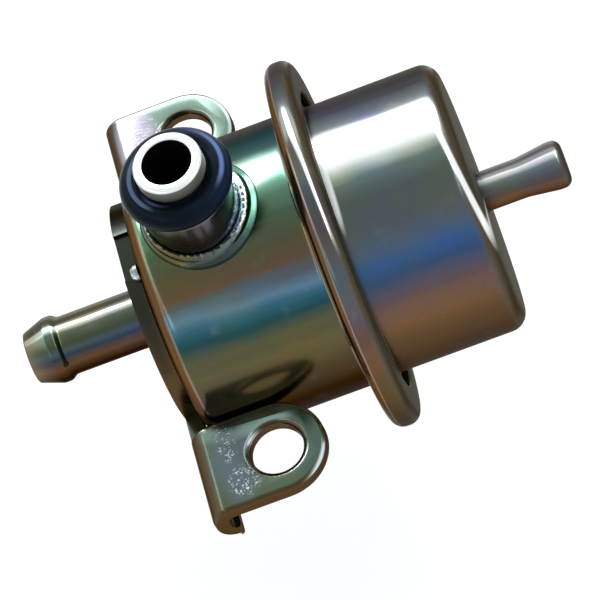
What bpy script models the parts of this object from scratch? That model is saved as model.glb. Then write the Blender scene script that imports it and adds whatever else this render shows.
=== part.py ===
"""Fuel pressure regulator for an engine's fuel rail, with its valve, diaphragm and spring.

The main axis is X. The return pipe leaves to -X and the vacuum nipple to +X. The inlet
stub points to +Z, the direction in which the two ears are bolted down. The origin lies
midway between the ear holes, on the front face of the ears. Sizes are in millimetres.
"""

import math

import bmesh
import bpy
from mathutils import Matrix, Vector

MM = 0.001
TURN = 2 * math.pi

# Clearance kept between pieces that seat on each other
GAP = 0.2

# Break of the edges of turned and rolled pieces, and how far a cutter runs past its wall
EDGE_ROUND = 0.3
CUTTER_OVERRUN = 5.0

# Fineness of the round shapes
CAN_SIDES = 40
PIPE_SIDES = 24
INNER_SIDES = 20
BALL_SIDES = 12
WIRE_STEPS = 2
COIL_STEPS = 14
SMALL_COIL_STEPS = 12
ARC_SAG = 0.09

# Folded bracket, whose ears clear the can's wall
SHEET = 2.0
EAR_FROM_CAN = 0.2
EAR_REACH = 10.7
EAR_R = 6.5
EAR_HOLE_R = 3.5
BEND_INNER_R = 1.0
BEND_STEPS = 4
CAN_LAND = 3.5
DISC_FLAT_WIDTH = 7.0
DISC_FLAT_DEPTH = 0.5
WING_DROP = 6.8
WING_CORNER = 0.6
WEB_DROP = 6.0
RELIEF_DEPTH = 0.5
HOOK_INNER_R = 0.6
HOOK_STRAIGHT = 0.5
HOOK_FROM_SIDE = 0.6
HOOK_SLOT = 0.8
SHEET_EDGE_ROUND = 0.25

# Fuel can, whose rim is rolled over the spring can's flange
CAN_R = 18.5
CAN_WALL = 0.9
CAN_DEPTH = 22.5
CAN_CORNER = 2.5
CAN_FLANGE_FILLET = 1.2
RIM_ROUND = 1.6
RIM_CLEAR = 0.3
LIP_FROM_SPRING_CAN = 2.0
LIP_WIDTH = 4.8

# Spring can
SPRING_CAN_R = 18.2
SPRING_CAN_WALL = 0.8
SPRING_CAN_DEPTH = 19.2
SPRING_CAN_CORNER = 2.75
SPRING_FLANGE_FILLET = 1.0

# Return pipe with its hose bead
PIPE_R = 3.95
PIPE_BORE_R = 2.95
PIPE_REACH = 19.0
PIPE_BEAD_R = 4.5
PIPE_BEAD_FROM_END = 3.6
PIPE_BEAD_LENGTH = 2.6
PIPE_BEAD_ROUND = 0.8
PIPE_NOSE_R = 3.4
PIPE_NOSE_ROUND = 0.2
PIPE_FILLET = 0.9

# Inlet stub with its seal, their heights measured from the can's wall
PORT_FROM_END = 9.3
PORT_HEIGHT = 12.25
SEAL_HEIGHT = 8.1
PORT_BORE_R = 3.18
END_RING_R = 4.46
END_RING_ROUND = 0.35
GROOVE_R = 3.66
SEAL_SECTION_R = 1.72
COLLAR_TOP_R = 6.2
COLLAR_FOOT_R = 6.1
SPIGOT_R = 4.9
SPIGOT_INSIDE = 1.2
BEAD_WIDTH = 1.4
BEAD_HEIGHT = 0.9

# Vacuum nipple
NIPPLE_R = 2.65
NIPPLE_BORE_R = 1.6
NIPPLE_REACH = 11.5
NIPPLE_BULGE_R = 3.2
NIPPLE_BULGE_FROM_END = 1.8
NIPPLE_SWELL_LENGTH = 4.3
NIPPLE_SWELL_ROUND = 6.0
NIPPLE_BULGE_ROUND = 1.6
NIPPLE_TIP_ROUND = 0.9
NIPPLE_COLLAR_R = 4.2
NIPPLE_COLLAR = 0.6

# Diaphragm with its rolled convolution, and the plates that grip it
DIAPHRAGM = 0.5
CONVOLUTION_HEIGHT = 2.0
CONVOLUTION_STEPS = 6
FUEL_PLATE = 0.8
FUEL_PLATE_R = 11.6
SPRING_PLATE = 0.8
SPRING_PLATE_LIP = 2.0
CUP_CORNER = 0.6

# Main spring
SPRING_WIRE = 2.2
SPRING_MEAN_R = 10.4
SPRING_TURNS = 4.5
SPRING_END_TURNS = 0.9
END_SEAT = 0.8
END_SEAT_LIP = 1.8
END_SEAT_HOLE_R = 5.0

# Valve seat, ball, disc and their holder
BALL_R = 2.4
BALL_FLAT = 1.8
DISC = 1.0
VALVE_DISC_R = 3.4
VALVE_DISC_ROUND = 0.2
FLOAT_CLEAR = 0.3
RETAINER = 0.4
RETAINER_CORNER = 0.3
RETAINER_SKIRT = 2.3
RETAINER_BITE = 0.15
HOLDER_BOSS_R = 4.6
HOLDER_NECK_R = 3.5
POCKET_WALL = 0.7
RIVET_HEAD_R = 4.8
RIVET_HEAD = 0.9
RIVET_HEAD_ROUND = 0.5
RIVET_FLOOR = 0.6
SEAT_BORE_R = 2.0
SEAT_FLANGE = 0.8
SEAT_FLANGE_R = 3.7
SEAT_LIP = 0.2
SEAT_LIP_WIDTH = 0.8
SEAT_SPIGOT = 2.2
BALL_SPRING_WIRE = 0.4
BALL_SPRING_MEAN_R = 1.5
BALL_SPRING_TURNS = 2.5
BALL_CENTRE_FROM_FLANGE = 2.5

# Tack welds between the bracket and the can's end
TACK_R = 0.8
TACK_ANGLES = (-13.0, 130.0, 230.0)
TACK_SIDES = 12

# Radii and heights that follow from the sizes above
EAR_SPREAD = CAN_R + EAR_FROM_CAN + EAR_R
DISC_R = CAN_R - CAN_LAND
LIP_INNER_R = SPRING_CAN_R + LIP_FROM_SPRING_CAN
RIM_R = LIP_INNER_R + LIP_WIDTH
CLAMP_R = RIM_R - CAN_WALL - RIM_CLEAR
PORT_TOP = CAN_R + PORT_HEIGHT
SEAL_Z = CAN_R + SEAL_HEIGHT
SPRING_PLATE_R = SPRING_MEAN_R + SPRING_WIRE / 2 + GAP
POCKET_R = HOLDER_NECK_R - POCKET_WALL

# Places along the main axis that follow from them
PLATE_X = -EAR_REACH
CAN_END_X = PLATE_X + SHEET + GAP
PORT_X = CAN_END_X + PORT_FROM_END
FLANGE_X = CAN_END_X + CAN_DEPTH
DIAPHRAGM_X = FLANGE_X + CAN_WALL + GAP
SPRING_FLANGE_X = DIAPHRAGM_X + DIAPHRAGM + GAP
LIP_X = SPRING_FLANGE_X + SPRING_CAN_WALL + GAP
SPRING_END_X = SPRING_FLANGE_X + SPRING_CAN_DEPTH
SPRING_PLATE_X = DIAPHRAGM_X + DIAPHRAGM + GAP
FUEL_PLATE_X = DIAPHRAGM_X - GAP - FUEL_PLATE
BALL_X = DIAPHRAGM_X - BALL_CENTRE_FROM_FLANGE
DISC_BACK_X = BALL_X - BALL_FLAT - GAP
DISC_FACE_X = DISC_BACK_X - DISC
SEAT_X = DISC_FACE_X - GAP
SEAT_FLANGE_X = SEAT_X - SEAT_LIP - SEAT_FLANGE
RETAINER_X = DISC_BACK_X + FLOAT_CLEAR
HOLDER_X = RETAINER_X + RETAINER + GAP
RIVET_X = SPRING_PLATE_X + SPRING_PLATE + GAP
END_SEAT_X = SPRING_END_X - SPRING_CAN_WALL - GAP - END_SEAT


def clear_scene():
    """Removes what the start-up scene holds."""
    for obj in list(bpy.data.objects):
        bpy.data.objects.remove(obj, do_unlink=True)


def metal(name, colour, roughness, metallic=1.0):
    """A Principled material of one colour."""
    material = bpy.data.materials.new(name)
    material.use_nodes = True
    shader = material.node_tree.nodes["Principled BSDF"]
    shader.inputs["Base Color"].default_value = (*colour, 1.0)
    shader.inputs["Roughness"].default_value = roughness
    shader.inputs["Metallic"].default_value = metallic
    return material


def arc_steps(radius, sweep):
    """How many chords keep within ARC_SAG of an arc."""
    chord = 2 * math.acos(max(0.0, 1 - ARC_SAG / radius))
    return max(1, math.ceil(abs(sweep) / chord))


def rounded(corners):
    """Points of an outline whose corners, each (along, out, radius), are rounded by arcs."""
    points = []
    for i, (along, out, radius) in enumerate(corners):
        here = Vector((along, out))
        if not radius:
            points.append(here)
            continue
        before = (Vector(corners[i - 1][:2]) - here).normalized()
        after = (Vector(corners[(i + 1) % len(corners)][:2]) - here).normalized()
        half = before.angle(after) / 2
        centre = here + (before + after).normalized() * radius / math.sin(half)
        start = here + before * radius / math.tan(half) - centre
        end = here + after * radius / math.tan(half) - centre
        sweep = math.atan2(start.cross(end), start.dot(end))
        steps = arc_steps(radius, sweep)
        for step in range(steps + 1):
            points.append(centre + Matrix.Rotation(sweep * step / steps, 2) @ start)
    return points


def arc(centre_a, centre_b, radius, first, last, steps):
    """Points on an arc in a plane, from one angle to another in degrees."""
    angles = [math.radians(first + (last - first) * i / steps) for i in range(steps + 1)]
    return [
        Vector((centre_a + radius * math.cos(a), centre_b + radius * math.sin(a)))
        for a in angles
    ]


def finished(name, mesh, material, smooth_below=40):
    """An object of the given mesh, shaded smooth across its shallow edges."""
    mesh.name = name
    mesh.materials.append(material)
    mesh.shade_smooth()
    mesh.set_sharp_from_angle(angle=math.radians(smooth_below))
    obj = bpy.data.objects.new(name, mesh)
    bpy.context.scene.collection.objects.link(obj)
    return obj


def lathed(outline, sides, closed=True):
    """A mesh turned about Z from an outline of (along, out) points in millimetres."""
    shape = bmesh.new()
    ring = [shape.verts.new((out * MM, 0, along * MM)) for along, out in outline]
    pairs = list(zip(ring, ring[1:]))
    if closed:
        pairs.append((ring[-1], ring[0]))
    edges = [shape.edges.new(pair) for pair in pairs]
    bmesh.ops.spin(
        shape, geom=ring + edges, cent=(0, 0, 0), axis=(0, 0, 1), angle=TURN, steps=sides
    )
    bmesh.ops.remove_doubles(shape, verts=shape.verts, dist=0.001 * MM)
    bmesh.ops.recalc_face_normals(shape, faces=shape.faces)
    return shape


def as_mesh(shape):
    """The bmesh stored as a mesh."""
    mesh = bpy.data.meshes.new("shape")
    shape.to_mesh(mesh)
    shape.free()
    return mesh


def on_main_axis(obj, x=0.0):
    """Lays an object that was turned about Z along the main axis."""
    obj.rotation_euler = (0, math.pi / 2, 0)
    obj.location = (x * MM, 0, 0)
    return obj


def turned(name, outline, material, sides=INNER_SIDES, x=0.0, closed=True):
    """A piece turned about the main axis, its outline measured from x."""
    mesh = as_mesh(lathed(outline, sides, closed))
    return on_main_axis(finished(name, mesh, material), x)


def cut(obj, cutter):
    """Takes a hidden cutter's shape away from an object."""
    cutter.hide_render = True
    cutter.display_type = "WIRE"
    boolean = obj.modifiers.new("cut", "BOOLEAN")
    boolean.operation = "DIFFERENCE"
    boolean.object = cutter


def over_can(shape):
    """Turns each point's height, kept in z from 0, into a height above the can's wall."""
    for vert in shape.verts:
        around = CAN_R * MM + vert.co.z
        vert.co.z = math.sqrt(around**2 - vert.co.y**2)


def fuel_can(material):
    """The drawn can, with a hole for the inlet, whose rim is rolled over the other flange."""
    outside = [
        (CAN_END_X, PIPE_R + GAP, 0),
        (CAN_END_X, CAN_R, CAN_CORNER),
        (FLANGE_X, CAN_R, CAN_FLANGE_FILLET),
        (FLANGE_X, RIM_R, RIM_ROUND),
        (LIP_X + CAN_WALL, RIM_R, RIM_ROUND),
        (LIP_X + CAN_WALL, LIP_INNER_R, EDGE_ROUND),
    ]
    inside = [
        (LIP_X, LIP_INNER_R, EDGE_ROUND),
        (LIP_X, RIM_R - CAN_WALL, RIM_ROUND - CAN_WALL),
        (FLANGE_X + CAN_WALL, RIM_R - CAN_WALL, RIM_ROUND - CAN_WALL),
        (FLANGE_X + CAN_WALL, CAN_R - CAN_WALL, CAN_FLANGE_FILLET + CAN_WALL),
        (CAN_END_X + CAN_WALL, CAN_R - CAN_WALL, CAN_CORNER - CAN_WALL),
        (CAN_END_X + CAN_WALL, PIPE_R + GAP, 0),
    ]
    outline = rounded(outside + inside)
    can = turned("fuel_housing", outline, material, CAN_SIDES)
    hole_r = SPIGOT_R + GAP
    past_wall = CAN_R + CUTTER_OVERRUN
    hole = [(0, 0), (0, hole_r), (past_wall, hole_r), (past_wall, 0)]
    cutter = finished("inlet_hole", as_mesh(lathed(hole, PIPE_SIDES, False)), material)
    cutter.location = (PORT_X * MM, 0, 0)
    cut(can, cutter)
    return can


def spring_can(material):
    """The drawn can over the spring, with the flange that the rim grips."""
    inner_r = SPRING_CAN_R - SPRING_CAN_WALL
    corners = [
        (SPRING_END_X, NIPPLE_R + GAP, 0),
        (SPRING_END_X, SPRING_CAN_R, SPRING_CAN_CORNER),
        (SPRING_FLANGE_X + SPRING_CAN_WALL, SPRING_CAN_R, SPRING_FLANGE_FILLET),
        (SPRING_FLANGE_X + SPRING_CAN_WALL, CLAMP_R, 0),
        (SPRING_FLANGE_X, CLAMP_R, 0),
        (SPRING_FLANGE_X, inner_r, SPRING_FLANGE_FILLET + SPRING_CAN_WALL),
        (SPRING_END_X - SPRING_CAN_WALL, inner_r, SPRING_CAN_CORNER - SPRING_CAN_WALL),
        (SPRING_END_X - SPRING_CAN_WALL, NIPPLE_R + GAP, 0),
    ]
    return turned("spring_housing", rounded(corners), material, CAN_SIDES)


def return_pipe(material):
    """The tube from the valve seat out through the can's end, with a bead for the hose."""
    end_x = CAN_END_X - PIPE_REACH
    bead_x = end_x + PIPE_BEAD_FROM_END
    corners = [
        (end_x, PIPE_BORE_R, 0),
        (end_x, PIPE_NOSE_R, PIPE_NOSE_ROUND),
        (bead_x - PIPE_BEAD_LENGTH / 5, PIPE_BEAD_R, PIPE_BEAD_ROUND),
        (bead_x + PIPE_BEAD_LENGTH / 5, PIPE_BEAD_R, PIPE_BEAD_ROUND),
        (bead_x + PIPE_BEAD_LENGTH / 2, PIPE_R, PIPE_BEAD_ROUND),
        (SEAT_FLANGE_X - GAP, PIPE_R, 0),
        (SEAT_FLANGE_X - GAP, PIPE_BORE_R, 0),
    ]
    return turned("return_pipe", rounded(corners), material, PIPE_SIDES)


def pipe_braze(material):
    """The braze fillet where the return pipe passes the bracket's end plate."""
    foot_x = PLATE_X - GAP
    foot_r = PIPE_R + GAP
    throat = arc(foot_x - PIPE_FILLET, foot_r + PIPE_FILLET, PIPE_FILLET * 0.8, 0, -90, 3)
    outline = [Vector((foot_x, foot_r)), Vector((foot_x, foot_r + PIPE_FILLET))]
    outline += throat + [Vector((foot_x - PIPE_FILLET, foot_r))]
    return turned("return_pipe_braze", outline, material, PIPE_SIDES)


def inlet_stub(material):
    """The turned stub: spigot, collar whose foot follows the can, seal groove, end ring."""
    groove_half = SEAL_SECTION_R + GAP
    inner_end = math.sqrt((CAN_R - CAN_WALL) ** 2 - SPIGOT_R**2) - SPIGOT_INSIDE
    above = rounded(
        [
            (SEAL_Z - groove_half, COLLAR_TOP_R, EDGE_ROUND),
            (SEAL_Z - groove_half, GROOVE_R, 0),
            (SEAL_Z + groove_half, GROOVE_R, 0),
            (SEAL_Z + groove_half, END_RING_R, 0),
            (PORT_TOP, END_RING_R, END_RING_ROUND),
            (PORT_TOP, PORT_BORE_R, 0),
            (inner_end, PORT_BORE_R, 0),
            (inner_end, SPIGOT_R, 0),
        ]
    )
    foot = [Vector((0, SPIGOT_R)), Vector((0, COLLAR_FOOT_R))]
    shape = lathed(above + foot, PIPE_SIDES)
    for vert in shape.verts:
        if abs(vert.co.z) < 0.1 * MM:
            vert.co.z = math.sqrt(((CAN_R + GAP) * MM) ** 2 - vert.co.y**2)
    stub = finished("inlet_stub", as_mesh(shape), material)
    stub.location = (PORT_X * MM, 0, 0)
    return stub


def inlet_bead(material):
    """The weld bead round the stub's foot, which lies on the can's curved wall."""
    inner = COLLAR_FOOT_R + GAP
    outline = [Vector((GAP, inner)), Vector((GAP, inner + BEAD_WIDTH))]
    crown = arc(GAP, inner, 1.0, 70, 20, 2)
    for point in crown:
        outline.append(
            Vector(
                (
                    GAP + (point.x - GAP) * BEAD_HEIGHT,
                    inner + (point.y - inner) * BEAD_WIDTH,
                )
            )
        )
    outline.append(Vector((GAP + BEAD_HEIGHT, inner)))
    shape = lathed(outline, PIPE_SIDES)
    over_can(shape)
    bead = finished("inlet_weld_bead", as_mesh(shape), material, 60)
    bead.location = (PORT_X * MM, 0, 0)
    return bead


def inlet_seal(material):
    """The rubber ring in the stub's groove."""
    core_r = GROOVE_R + GAP + SEAL_SECTION_R
    outline = arc(0, core_r, SEAL_SECTION_R, 0, 330, 11)
    ring = finished("inlet_o_ring", as_mesh(lathed(outline, PIPE_SIDES)), material, 60)
    ring.location = (PORT_X * MM, 0, SEAL_Z * MM)
    return ring


def vacuum_nipple(material):
    """The hose nipple on the spring can's end, held by a collar inside."""
    end_x = SPRING_END_X + NIPPLE_REACH
    bulge_x = end_x - NIPPLE_BULGE_FROM_END
    collar_x = SPRING_END_X - SPRING_CAN_WALL - GAP
    corners = [
        (collar_x - NIPPLE_COLLAR, NIPPLE_BORE_R, 0),
        (collar_x - NIPPLE_COLLAR, NIPPLE_COLLAR_R, 0),
        (collar_x, NIPPLE_COLLAR_R, 0),
        (collar_x, NIPPLE_R, 0),
        (bulge_x - NIPPLE_SWELL_LENGTH, NIPPLE_R, NIPPLE_SWELL_ROUND),
        (bulge_x, NIPPLE_BULGE_R, NIPPLE_BULGE_ROUND),
        (end_x, NIPPLE_BULGE_R, NIPPLE_TIP_ROUND),
        (end_x, NIPPLE_BORE_R, 0),
    ]
    return turned("vacuum_nipple", rounded(corners), material)


def diaphragm_outline():
    """The diaphragm's section, thick everywhere, with one convolution to the spring side."""
    inner = SPRING_PLATE_R + SPRING_PLATE + GAP
    outer = SPRING_CAN_R - SPRING_CAN_WALL - GAP
    width = outer - inner
    fractions = [i / CONVOLUTION_STEPS for i in range(CONVOLUTION_STEPS + 1)]
    rise = [CONVOLUTION_HEIGHT * math.sin(math.pi * f) ** 2 for f in fractions]
    fuel_side = [Vector((h, inner + width * f)) for h, f in zip(rise, fractions)]
    spring_side = [point + Vector((DIAPHRAGM, 0)) for point in reversed(fuel_side)]
    hole_r = HOLDER_NECK_R + GAP
    return (
        [Vector((0, hole_r))]
        + fuel_side
        + [Vector((0, CLAMP_R)), Vector((DIAPHRAGM, CLAMP_R))]
        + spring_side
        + [Vector((DIAPHRAGM, hole_r))]
    )


def diaphragm(material):
    """The rubber and fabric sheet gripped between the two flanges."""
    return turned("diaphragm", diaphragm_outline(), material, CAN_SIDES, DIAPHRAGM_X)


def cup_outline(thick, inner_r, outer_r, lip, corner=CUP_CORNER):
    """The section of a pressed disc whose edge is turned up by lip, floor at 0."""
    return rounded(
        [
            (0, inner_r, 0),
            (0, outer_r + thick, corner + thick / 2),
            (thick + lip, outer_r + thick, 0),
            (thick + lip, outer_r, 0),
            (thick, outer_r, corner / 2),
            (thick, inner_r, 0),
        ]
    )


def fuel_plate(material):
    """The flat plate that backs the diaphragm on its fuel side."""
    corners = [
        (0, HOLDER_NECK_R + GAP, 0),
        (0, FUEL_PLATE_R, FUEL_PLATE / 2),
        (FUEL_PLATE, FUEL_PLATE_R, 0),
        (FUEL_PLATE, HOLDER_NECK_R + GAP, 0),
    ]
    return turned("diaphragm_plate", rounded(corners), material, INNER_SIDES, FUEL_PLATE_X)


def spring_plate(material):
    """The cupped plate that the main spring presses on."""
    outline = cup_outline(
        SPRING_PLATE, HOLDER_NECK_R + GAP, SPRING_PLATE_R, SPRING_PLATE_LIP
    )
    return turned("spring_plate", outline, material, INNER_SIDES, SPRING_PLATE_X)


def end_seat(material):
    """The cupped disc between the main spring and the spring can's end."""
    outline = cup_outline(END_SEAT, END_SEAT_HOLE_R, SPRING_PLATE_R, END_SEAT_LIP)
    seat = turned("spring_end_seat", outline, material)
    seat.rotation_euler = (0, -math.pi / 2, 0)
    seat.location = ((END_SEAT_X + END_SEAT) * MM, 0, 0)
    return seat


def coil(name, material, wire, mean_r, turns, end_turns, start_x, end_x, steps):
    """A wire coil along the main axis, closed up by end_turns at both ends."""
    length = end_x - start_x
    end_pitch = wire + GAP
    middle_turns = turns - 2 * end_turns
    middle_pitch = (length - 2 * end_turns * end_pitch) / middle_turns
    curve = bpy.data.curves.new(name, "CURVE")
    curve.dimensions = "3D"
    curve.bevel_depth = wire / 2 * MM
    curve.bevel_resolution = WIRE_STEPS
    curve.use_fill_caps = True
    spline = curve.splines.new("POLY")
    count = round(turns * steps)
    spline.points.add(count)
    for i in range(count + 1):
        turn = turns * i / count
        closed_turns = min(turn, end_turns) + max(0, turn - turns + end_turns)
        along = start_x + closed_turns * end_pitch + (turn - closed_turns) * middle_pitch
        across = mean_r * math.cos(TURN * turn)
        up = mean_r * math.sin(TURN * turn)
        spline.points[i].co = (along * MM, across * MM, up * MM, 1)
    curve.materials.append(material)
    obj = bpy.data.objects.new(name, curve)
    bpy.context.scene.collection.objects.link(obj)
    return obj


def main_spring(material):
    """The spring that sets the fuel pressure."""
    start_x = SPRING_PLATE_X + SPRING_PLATE + GAP + SPRING_WIRE / 2
    end_x = END_SEAT_X - GAP - SPRING_WIRE / 2
    return coil(
        "main_spring", material, SPRING_WIRE, SPRING_MEAN_R, SPRING_TURNS,
        SPRING_END_TURNS, start_x, end_x, COIL_STEPS,
    )


def valve_seat(material):
    """The turned seat whose spigot sits in the return pipe's inner end."""
    lip_r = SEAT_BORE_R + SEAT_LIP_WIDTH
    corners = [
        (SEAT_FLANGE_X - SEAT_SPIGOT, SEAT_BORE_R, 0),
        (SEAT_FLANGE_X - SEAT_SPIGOT, PIPE_BORE_R - GAP, 0),
        (SEAT_FLANGE_X, PIPE_BORE_R - GAP, 0),
        (SEAT_FLANGE_X, SEAT_FLANGE_R, 0),
        (SEAT_X - SEAT_LIP, SEAT_FLANGE_R, 0),
        (SEAT_X - SEAT_LIP, lip_r, 0),
        (SEAT_X, lip_r, 0),
        (SEAT_X, SEAT_BORE_R, 0),
    ]
    return turned("valve_seat", rounded(corners), material)


def valve_holder(material):
    """The turned holder, riveted through both plates, with the ball's pocket."""
    floor_x = RIVET_X + RIVET_HEAD - RIVET_FLOOR
    shoulder_x = FUEL_PLATE_X - GAP
    corners = [
        (HOLDER_X, POCKET_R, 0),
        (HOLDER_X, HOLDER_BOSS_R, EDGE_ROUND),
        (shoulder_x, HOLDER_BOSS_R, 0),
        (shoulder_x, HOLDER_NECK_R, 0),
        (RIVET_X, HOLDER_NECK_R, 0),
        (RIVET_X, RIVET_HEAD_R, 0),
        (RIVET_X + RIVET_HEAD, RIVET_HEAD_R, RIVET_HEAD_ROUND),
        (RIVET_X + RIVET_HEAD, 0, 0),
        (floor_x, 0, 0),
        (floor_x, POCKET_R, 0),
    ]
    outline = rounded(corners)
    on_axis = [i for i, point in enumerate(outline) if point.y == 0]
    outline = outline[on_axis[1]:] + outline[: on_axis[1]]
    return turned("valve_holder", outline, material, closed=False)


def valve_ball(material):
    """The ball with the flat that carries the disc."""
    start = math.degrees(math.acos(-BALL_FLAT / BALL_R))
    outline = [Vector((-BALL_FLAT, 0))] + arc(0, 0, BALL_R, start, 0, 8)
    outline[-1].y = 0
    return turned("valve_ball", outline, material, BALL_SIDES, BALL_X, closed=False)


def valve_disc(material):
    """The flat disc that closes the seat."""
    edge = (VALVE_DISC_R, VALVE_DISC_ROUND)
    outline = rounded([(0, 0, 0), (0, *edge), (DISC, *edge), (DISC, 0, 0)])
    return turned("valve_disc", outline, material, INNER_SIDES, DISC_FACE_X, closed=False)


def ball_retainer(material):
    """The thin cap, snapped over the holder, that keeps the ball in."""
    hole_r = BALL_R - RETAINER_BITE
    outer_r = HOLDER_BOSS_R + GAP
    lip = RETAINER_SKIRT - RETAINER
    outline = cup_outline(RETAINER, hole_r, outer_r, lip, RETAINER_CORNER)
    return turned("ball_retainer", outline, material, INNER_SIDES, RETAINER_X)


def ball_spring(material):
    """The small spring behind the ball."""
    half_wire = BALL_SPRING_WIRE / 2
    clear = BALL_R + GAP + half_wire
    start_x = BALL_X + math.sqrt(clear**2 - BALL_SPRING_MEAN_R**2)
    end_x = RIVET_X + RIVET_HEAD - RIVET_FLOOR - GAP - half_wire
    return coil(
        "ball_spring", material, BALL_SPRING_WIRE, BALL_SPRING_MEAN_R,
        BALL_SPRING_TURNS, 0.0, start_x, end_x, SMALL_COIL_STEPS,
    )


def blank_outline():
    """The flat blank of the bracket, one side: (y, up), from the bottom to the top."""
    side = EAR_SPREAD + EAR_R
    inner_side = EAR_SPREAD - EAR_R
    outer_bend = BEND_INNER_R + SHEET
    relief = -outer_bend - RELIEF_DEPTH
    web_meets = math.sqrt(DISC_R**2 - WEB_DROP**2)
    relief_meets = math.sqrt(DISC_R**2 - relief**2)
    slot_y = inner_side + HOOK_FROM_SIDE
    wing = [
        (web_meets, -WEB_DROP, 0),
        (slot_y, -WEB_DROP, 0),
        (slot_y, hook_start() + GAP, 0),
        (slot_y + HOOK_SLOT, hook_start() + GAP, 0),
        (slot_y + HOOK_SLOT, hook_start() - hook_length() - HOOK_STRAIGHT, 0),
        (side, hook_start() - hook_length() - HOOK_STRAIGHT, WING_CORNER),
        (side, 0, 0),
    ]
    lower = rounded(wing)[:-1]
    lobe = arc(EAR_SPREAD, hole_up(), EAR_R, 0, 180, 14)
    notch = rounded([(inner_side, hole_up(), 0), (inner_side, relief, 0.4), (0, relief, 0)])
    upper = notch[1:-1] + [Vector((relief_meets, relief))]
    first = math.degrees(math.atan2(relief, relief_meets))
    flat_y = DISC_FLAT_WIDTH / 2
    last = math.degrees(math.acos(flat_y / DISC_R))
    rim = arc(0, 0, DISC_R, first, last, 8)[1:]
    corner = rim[-1].y - DISC_FLAT_DEPTH
    return lower + lobe + upper + rim + [Vector((flat_y, corner))]


def bend_length():
    """The length of sheet that the bend uses, along its middle."""
    return (BEND_INNER_R + SHEET / 2) * math.pi / 2


def hook_start():
    """Where on the flat blank the hook that stiffens the wing's lower edge starts to bend."""
    return HOOK_INNER_R + SHEET - WING_DROP


def hook_length():
    """The length of sheet that the hook's bend uses, along its middle."""
    return (HOOK_INNER_R + SHEET / 2) * math.pi / 2


def hole_up():
    """Where the ear hole lies on the flat blank, above the front face's plane."""
    outer_bend = BEND_INNER_R + SHEET
    return -outer_bend + bend_length() + EAR_REACH - outer_bend


def folded(point):
    """The place of a point (depth, y, up) of the flat blank once ear and hook are folded."""
    depth, y, up = (value / MM for value in point)
    outer_bend = BEND_INNER_R + SHEET
    outer_hook = HOOK_INNER_R + SHEET
    down = hook_start() - up
    hook_y = EAR_SPREAD - EAR_R + HOOK_FROM_SIDE + HOOK_SLOT
    if down > 0 and abs(y) > hook_y - 0.1:
        angle = min(down / hook_length(), 1) * math.pi / 2
        radius = outer_hook - depth
        beyond = max(down - hook_length(), 0)
        x = PLATE_X + outer_hook - radius * math.cos(angle) + beyond
        return Vector((x, y, hook_start() - radius * math.sin(angle))) * MM
    run = up + outer_bend
    if run <= 0 or abs(y) < EAR_SPREAD - EAR_R - 0.1:
        return Vector((PLATE_X + depth, y, up)) * MM
    angle = min(run / bend_length(), 1) * math.pi / 2
    beyond = max(run - bend_length(), 0)
    radius = outer_bend - depth
    x = PLATE_X + outer_bend - radius * math.cos(angle) + beyond
    z = -outer_bend + radius * math.sin(angle)
    return Vector((x, y, z)) * MM


def loop_edges(shape, points):
    """A closed loop of edges through points (y, up) on the blank's outer face."""
    ring = [shape.verts.new((0, y * MM, up * MM)) for y, up in points]
    return [shape.edges.new((ring[i - 1], ring[i])) for i in range(len(ring))]


def mounting_bracket(material):
    """One sheet: cut to its blank, pierced, then both ears folded forward."""
    shape = bmesh.new()
    half = blank_outline()
    other = [Vector((-point.x, point.y)) for point in reversed(half)]
    bottom = math.degrees(math.asin(WEB_DROP / DISC_R))
    under = arc(0, 0, DISC_R, 180 + bottom, 360 - bottom, 12)[1:-1]
    edges = loop_edges(shape, half + other + under)
    edges += loop_edges(shape, arc(0, 0, PIPE_R + GAP, 0, 345, 23))
    for side in (-1, 1):
        edges += loop_edges(
            shape, arc(side * EAR_SPREAD, hole_up(), EAR_HOLE_R, 0, 345, 23)
        )
    bmesh.ops.triangle_fill(shape, edges=edges, use_beauty=True)
    fold_lines = []
    for step in range(BEND_STEPS + 1):
        fold_lines.append(-(BEND_INNER_R + SHEET) + bend_length() * step / BEND_STEPS)
        fold_lines.append(hook_start() - hook_length() * step / BEND_STEPS)
    for up in fold_lines:
        for side in (-1, 1):
            near = [
                face for face in shape.faces
                if side * face.calc_center_median().y > (EAR_SPREAD - EAR_R - 0.1) * MM
            ]
            bmesh.ops.bisect_plane(
                shape,
                geom=near + list({e for f in near for e in f.edges})
                + list({v for f in near for v in f.verts}),
                plane_co=(0, 0, up * MM),
                plane_no=(0, 0, 1),
            )
    bmesh.ops.recalc_face_normals(shape, faces=shape.faces)
    grown = bmesh.ops.extrude_face_region(shape, geom=list(shape.faces))["geom"]
    for item in grown:
        if isinstance(item, bmesh.types.BMVert):
            item.co.x += SHEET * MM
    for vert in shape.verts:
        vert.co = folded(vert.co)
    bmesh.ops.recalc_face_normals(shape, faces=shape.faces)
    bracket = finished("mounting_bracket", as_mesh(shape), material)
    bevel = bracket.modifiers.new("edges", "BEVEL")
    bevel.width = SHEET_EDGE_ROUND * MM
    bevel.segments = 1
    bevel.limit_method = "ANGLE"
    bevel.angle_limit = math.radians(50)
    return bracket


def tack_welds(material):
    """Beads that tack the bracket's disc to the can's end."""
    for number, angle in enumerate(TACK_ANGLES, 1):
        outline = arc(0, 0, TACK_R, 180, 0, 6)
        outline[0].y = 0
        outline[-1].y = 0
        name = f"bracket_tack_weld_{number}"
        tack = turned(name, outline, material, TACK_SIDES, closed=False)
        radius = DISC_R + GAP + TACK_R
        turn = math.radians(angle)
        tack.location = Vector(
            (
                CAN_END_X - GAP - TACK_R,
                radius * math.sin(turn),
                radius * math.cos(turn),
            )
        ) * MM


def joint_empty(name, x):
    """An empty on the main axis that carries the pieces of one moving group."""
    empty = bpy.data.objects.new(name, None)
    empty.location = (x * MM, 0, 0)
    bpy.context.scene.collection.objects.link(empty)
    return empty


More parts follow.
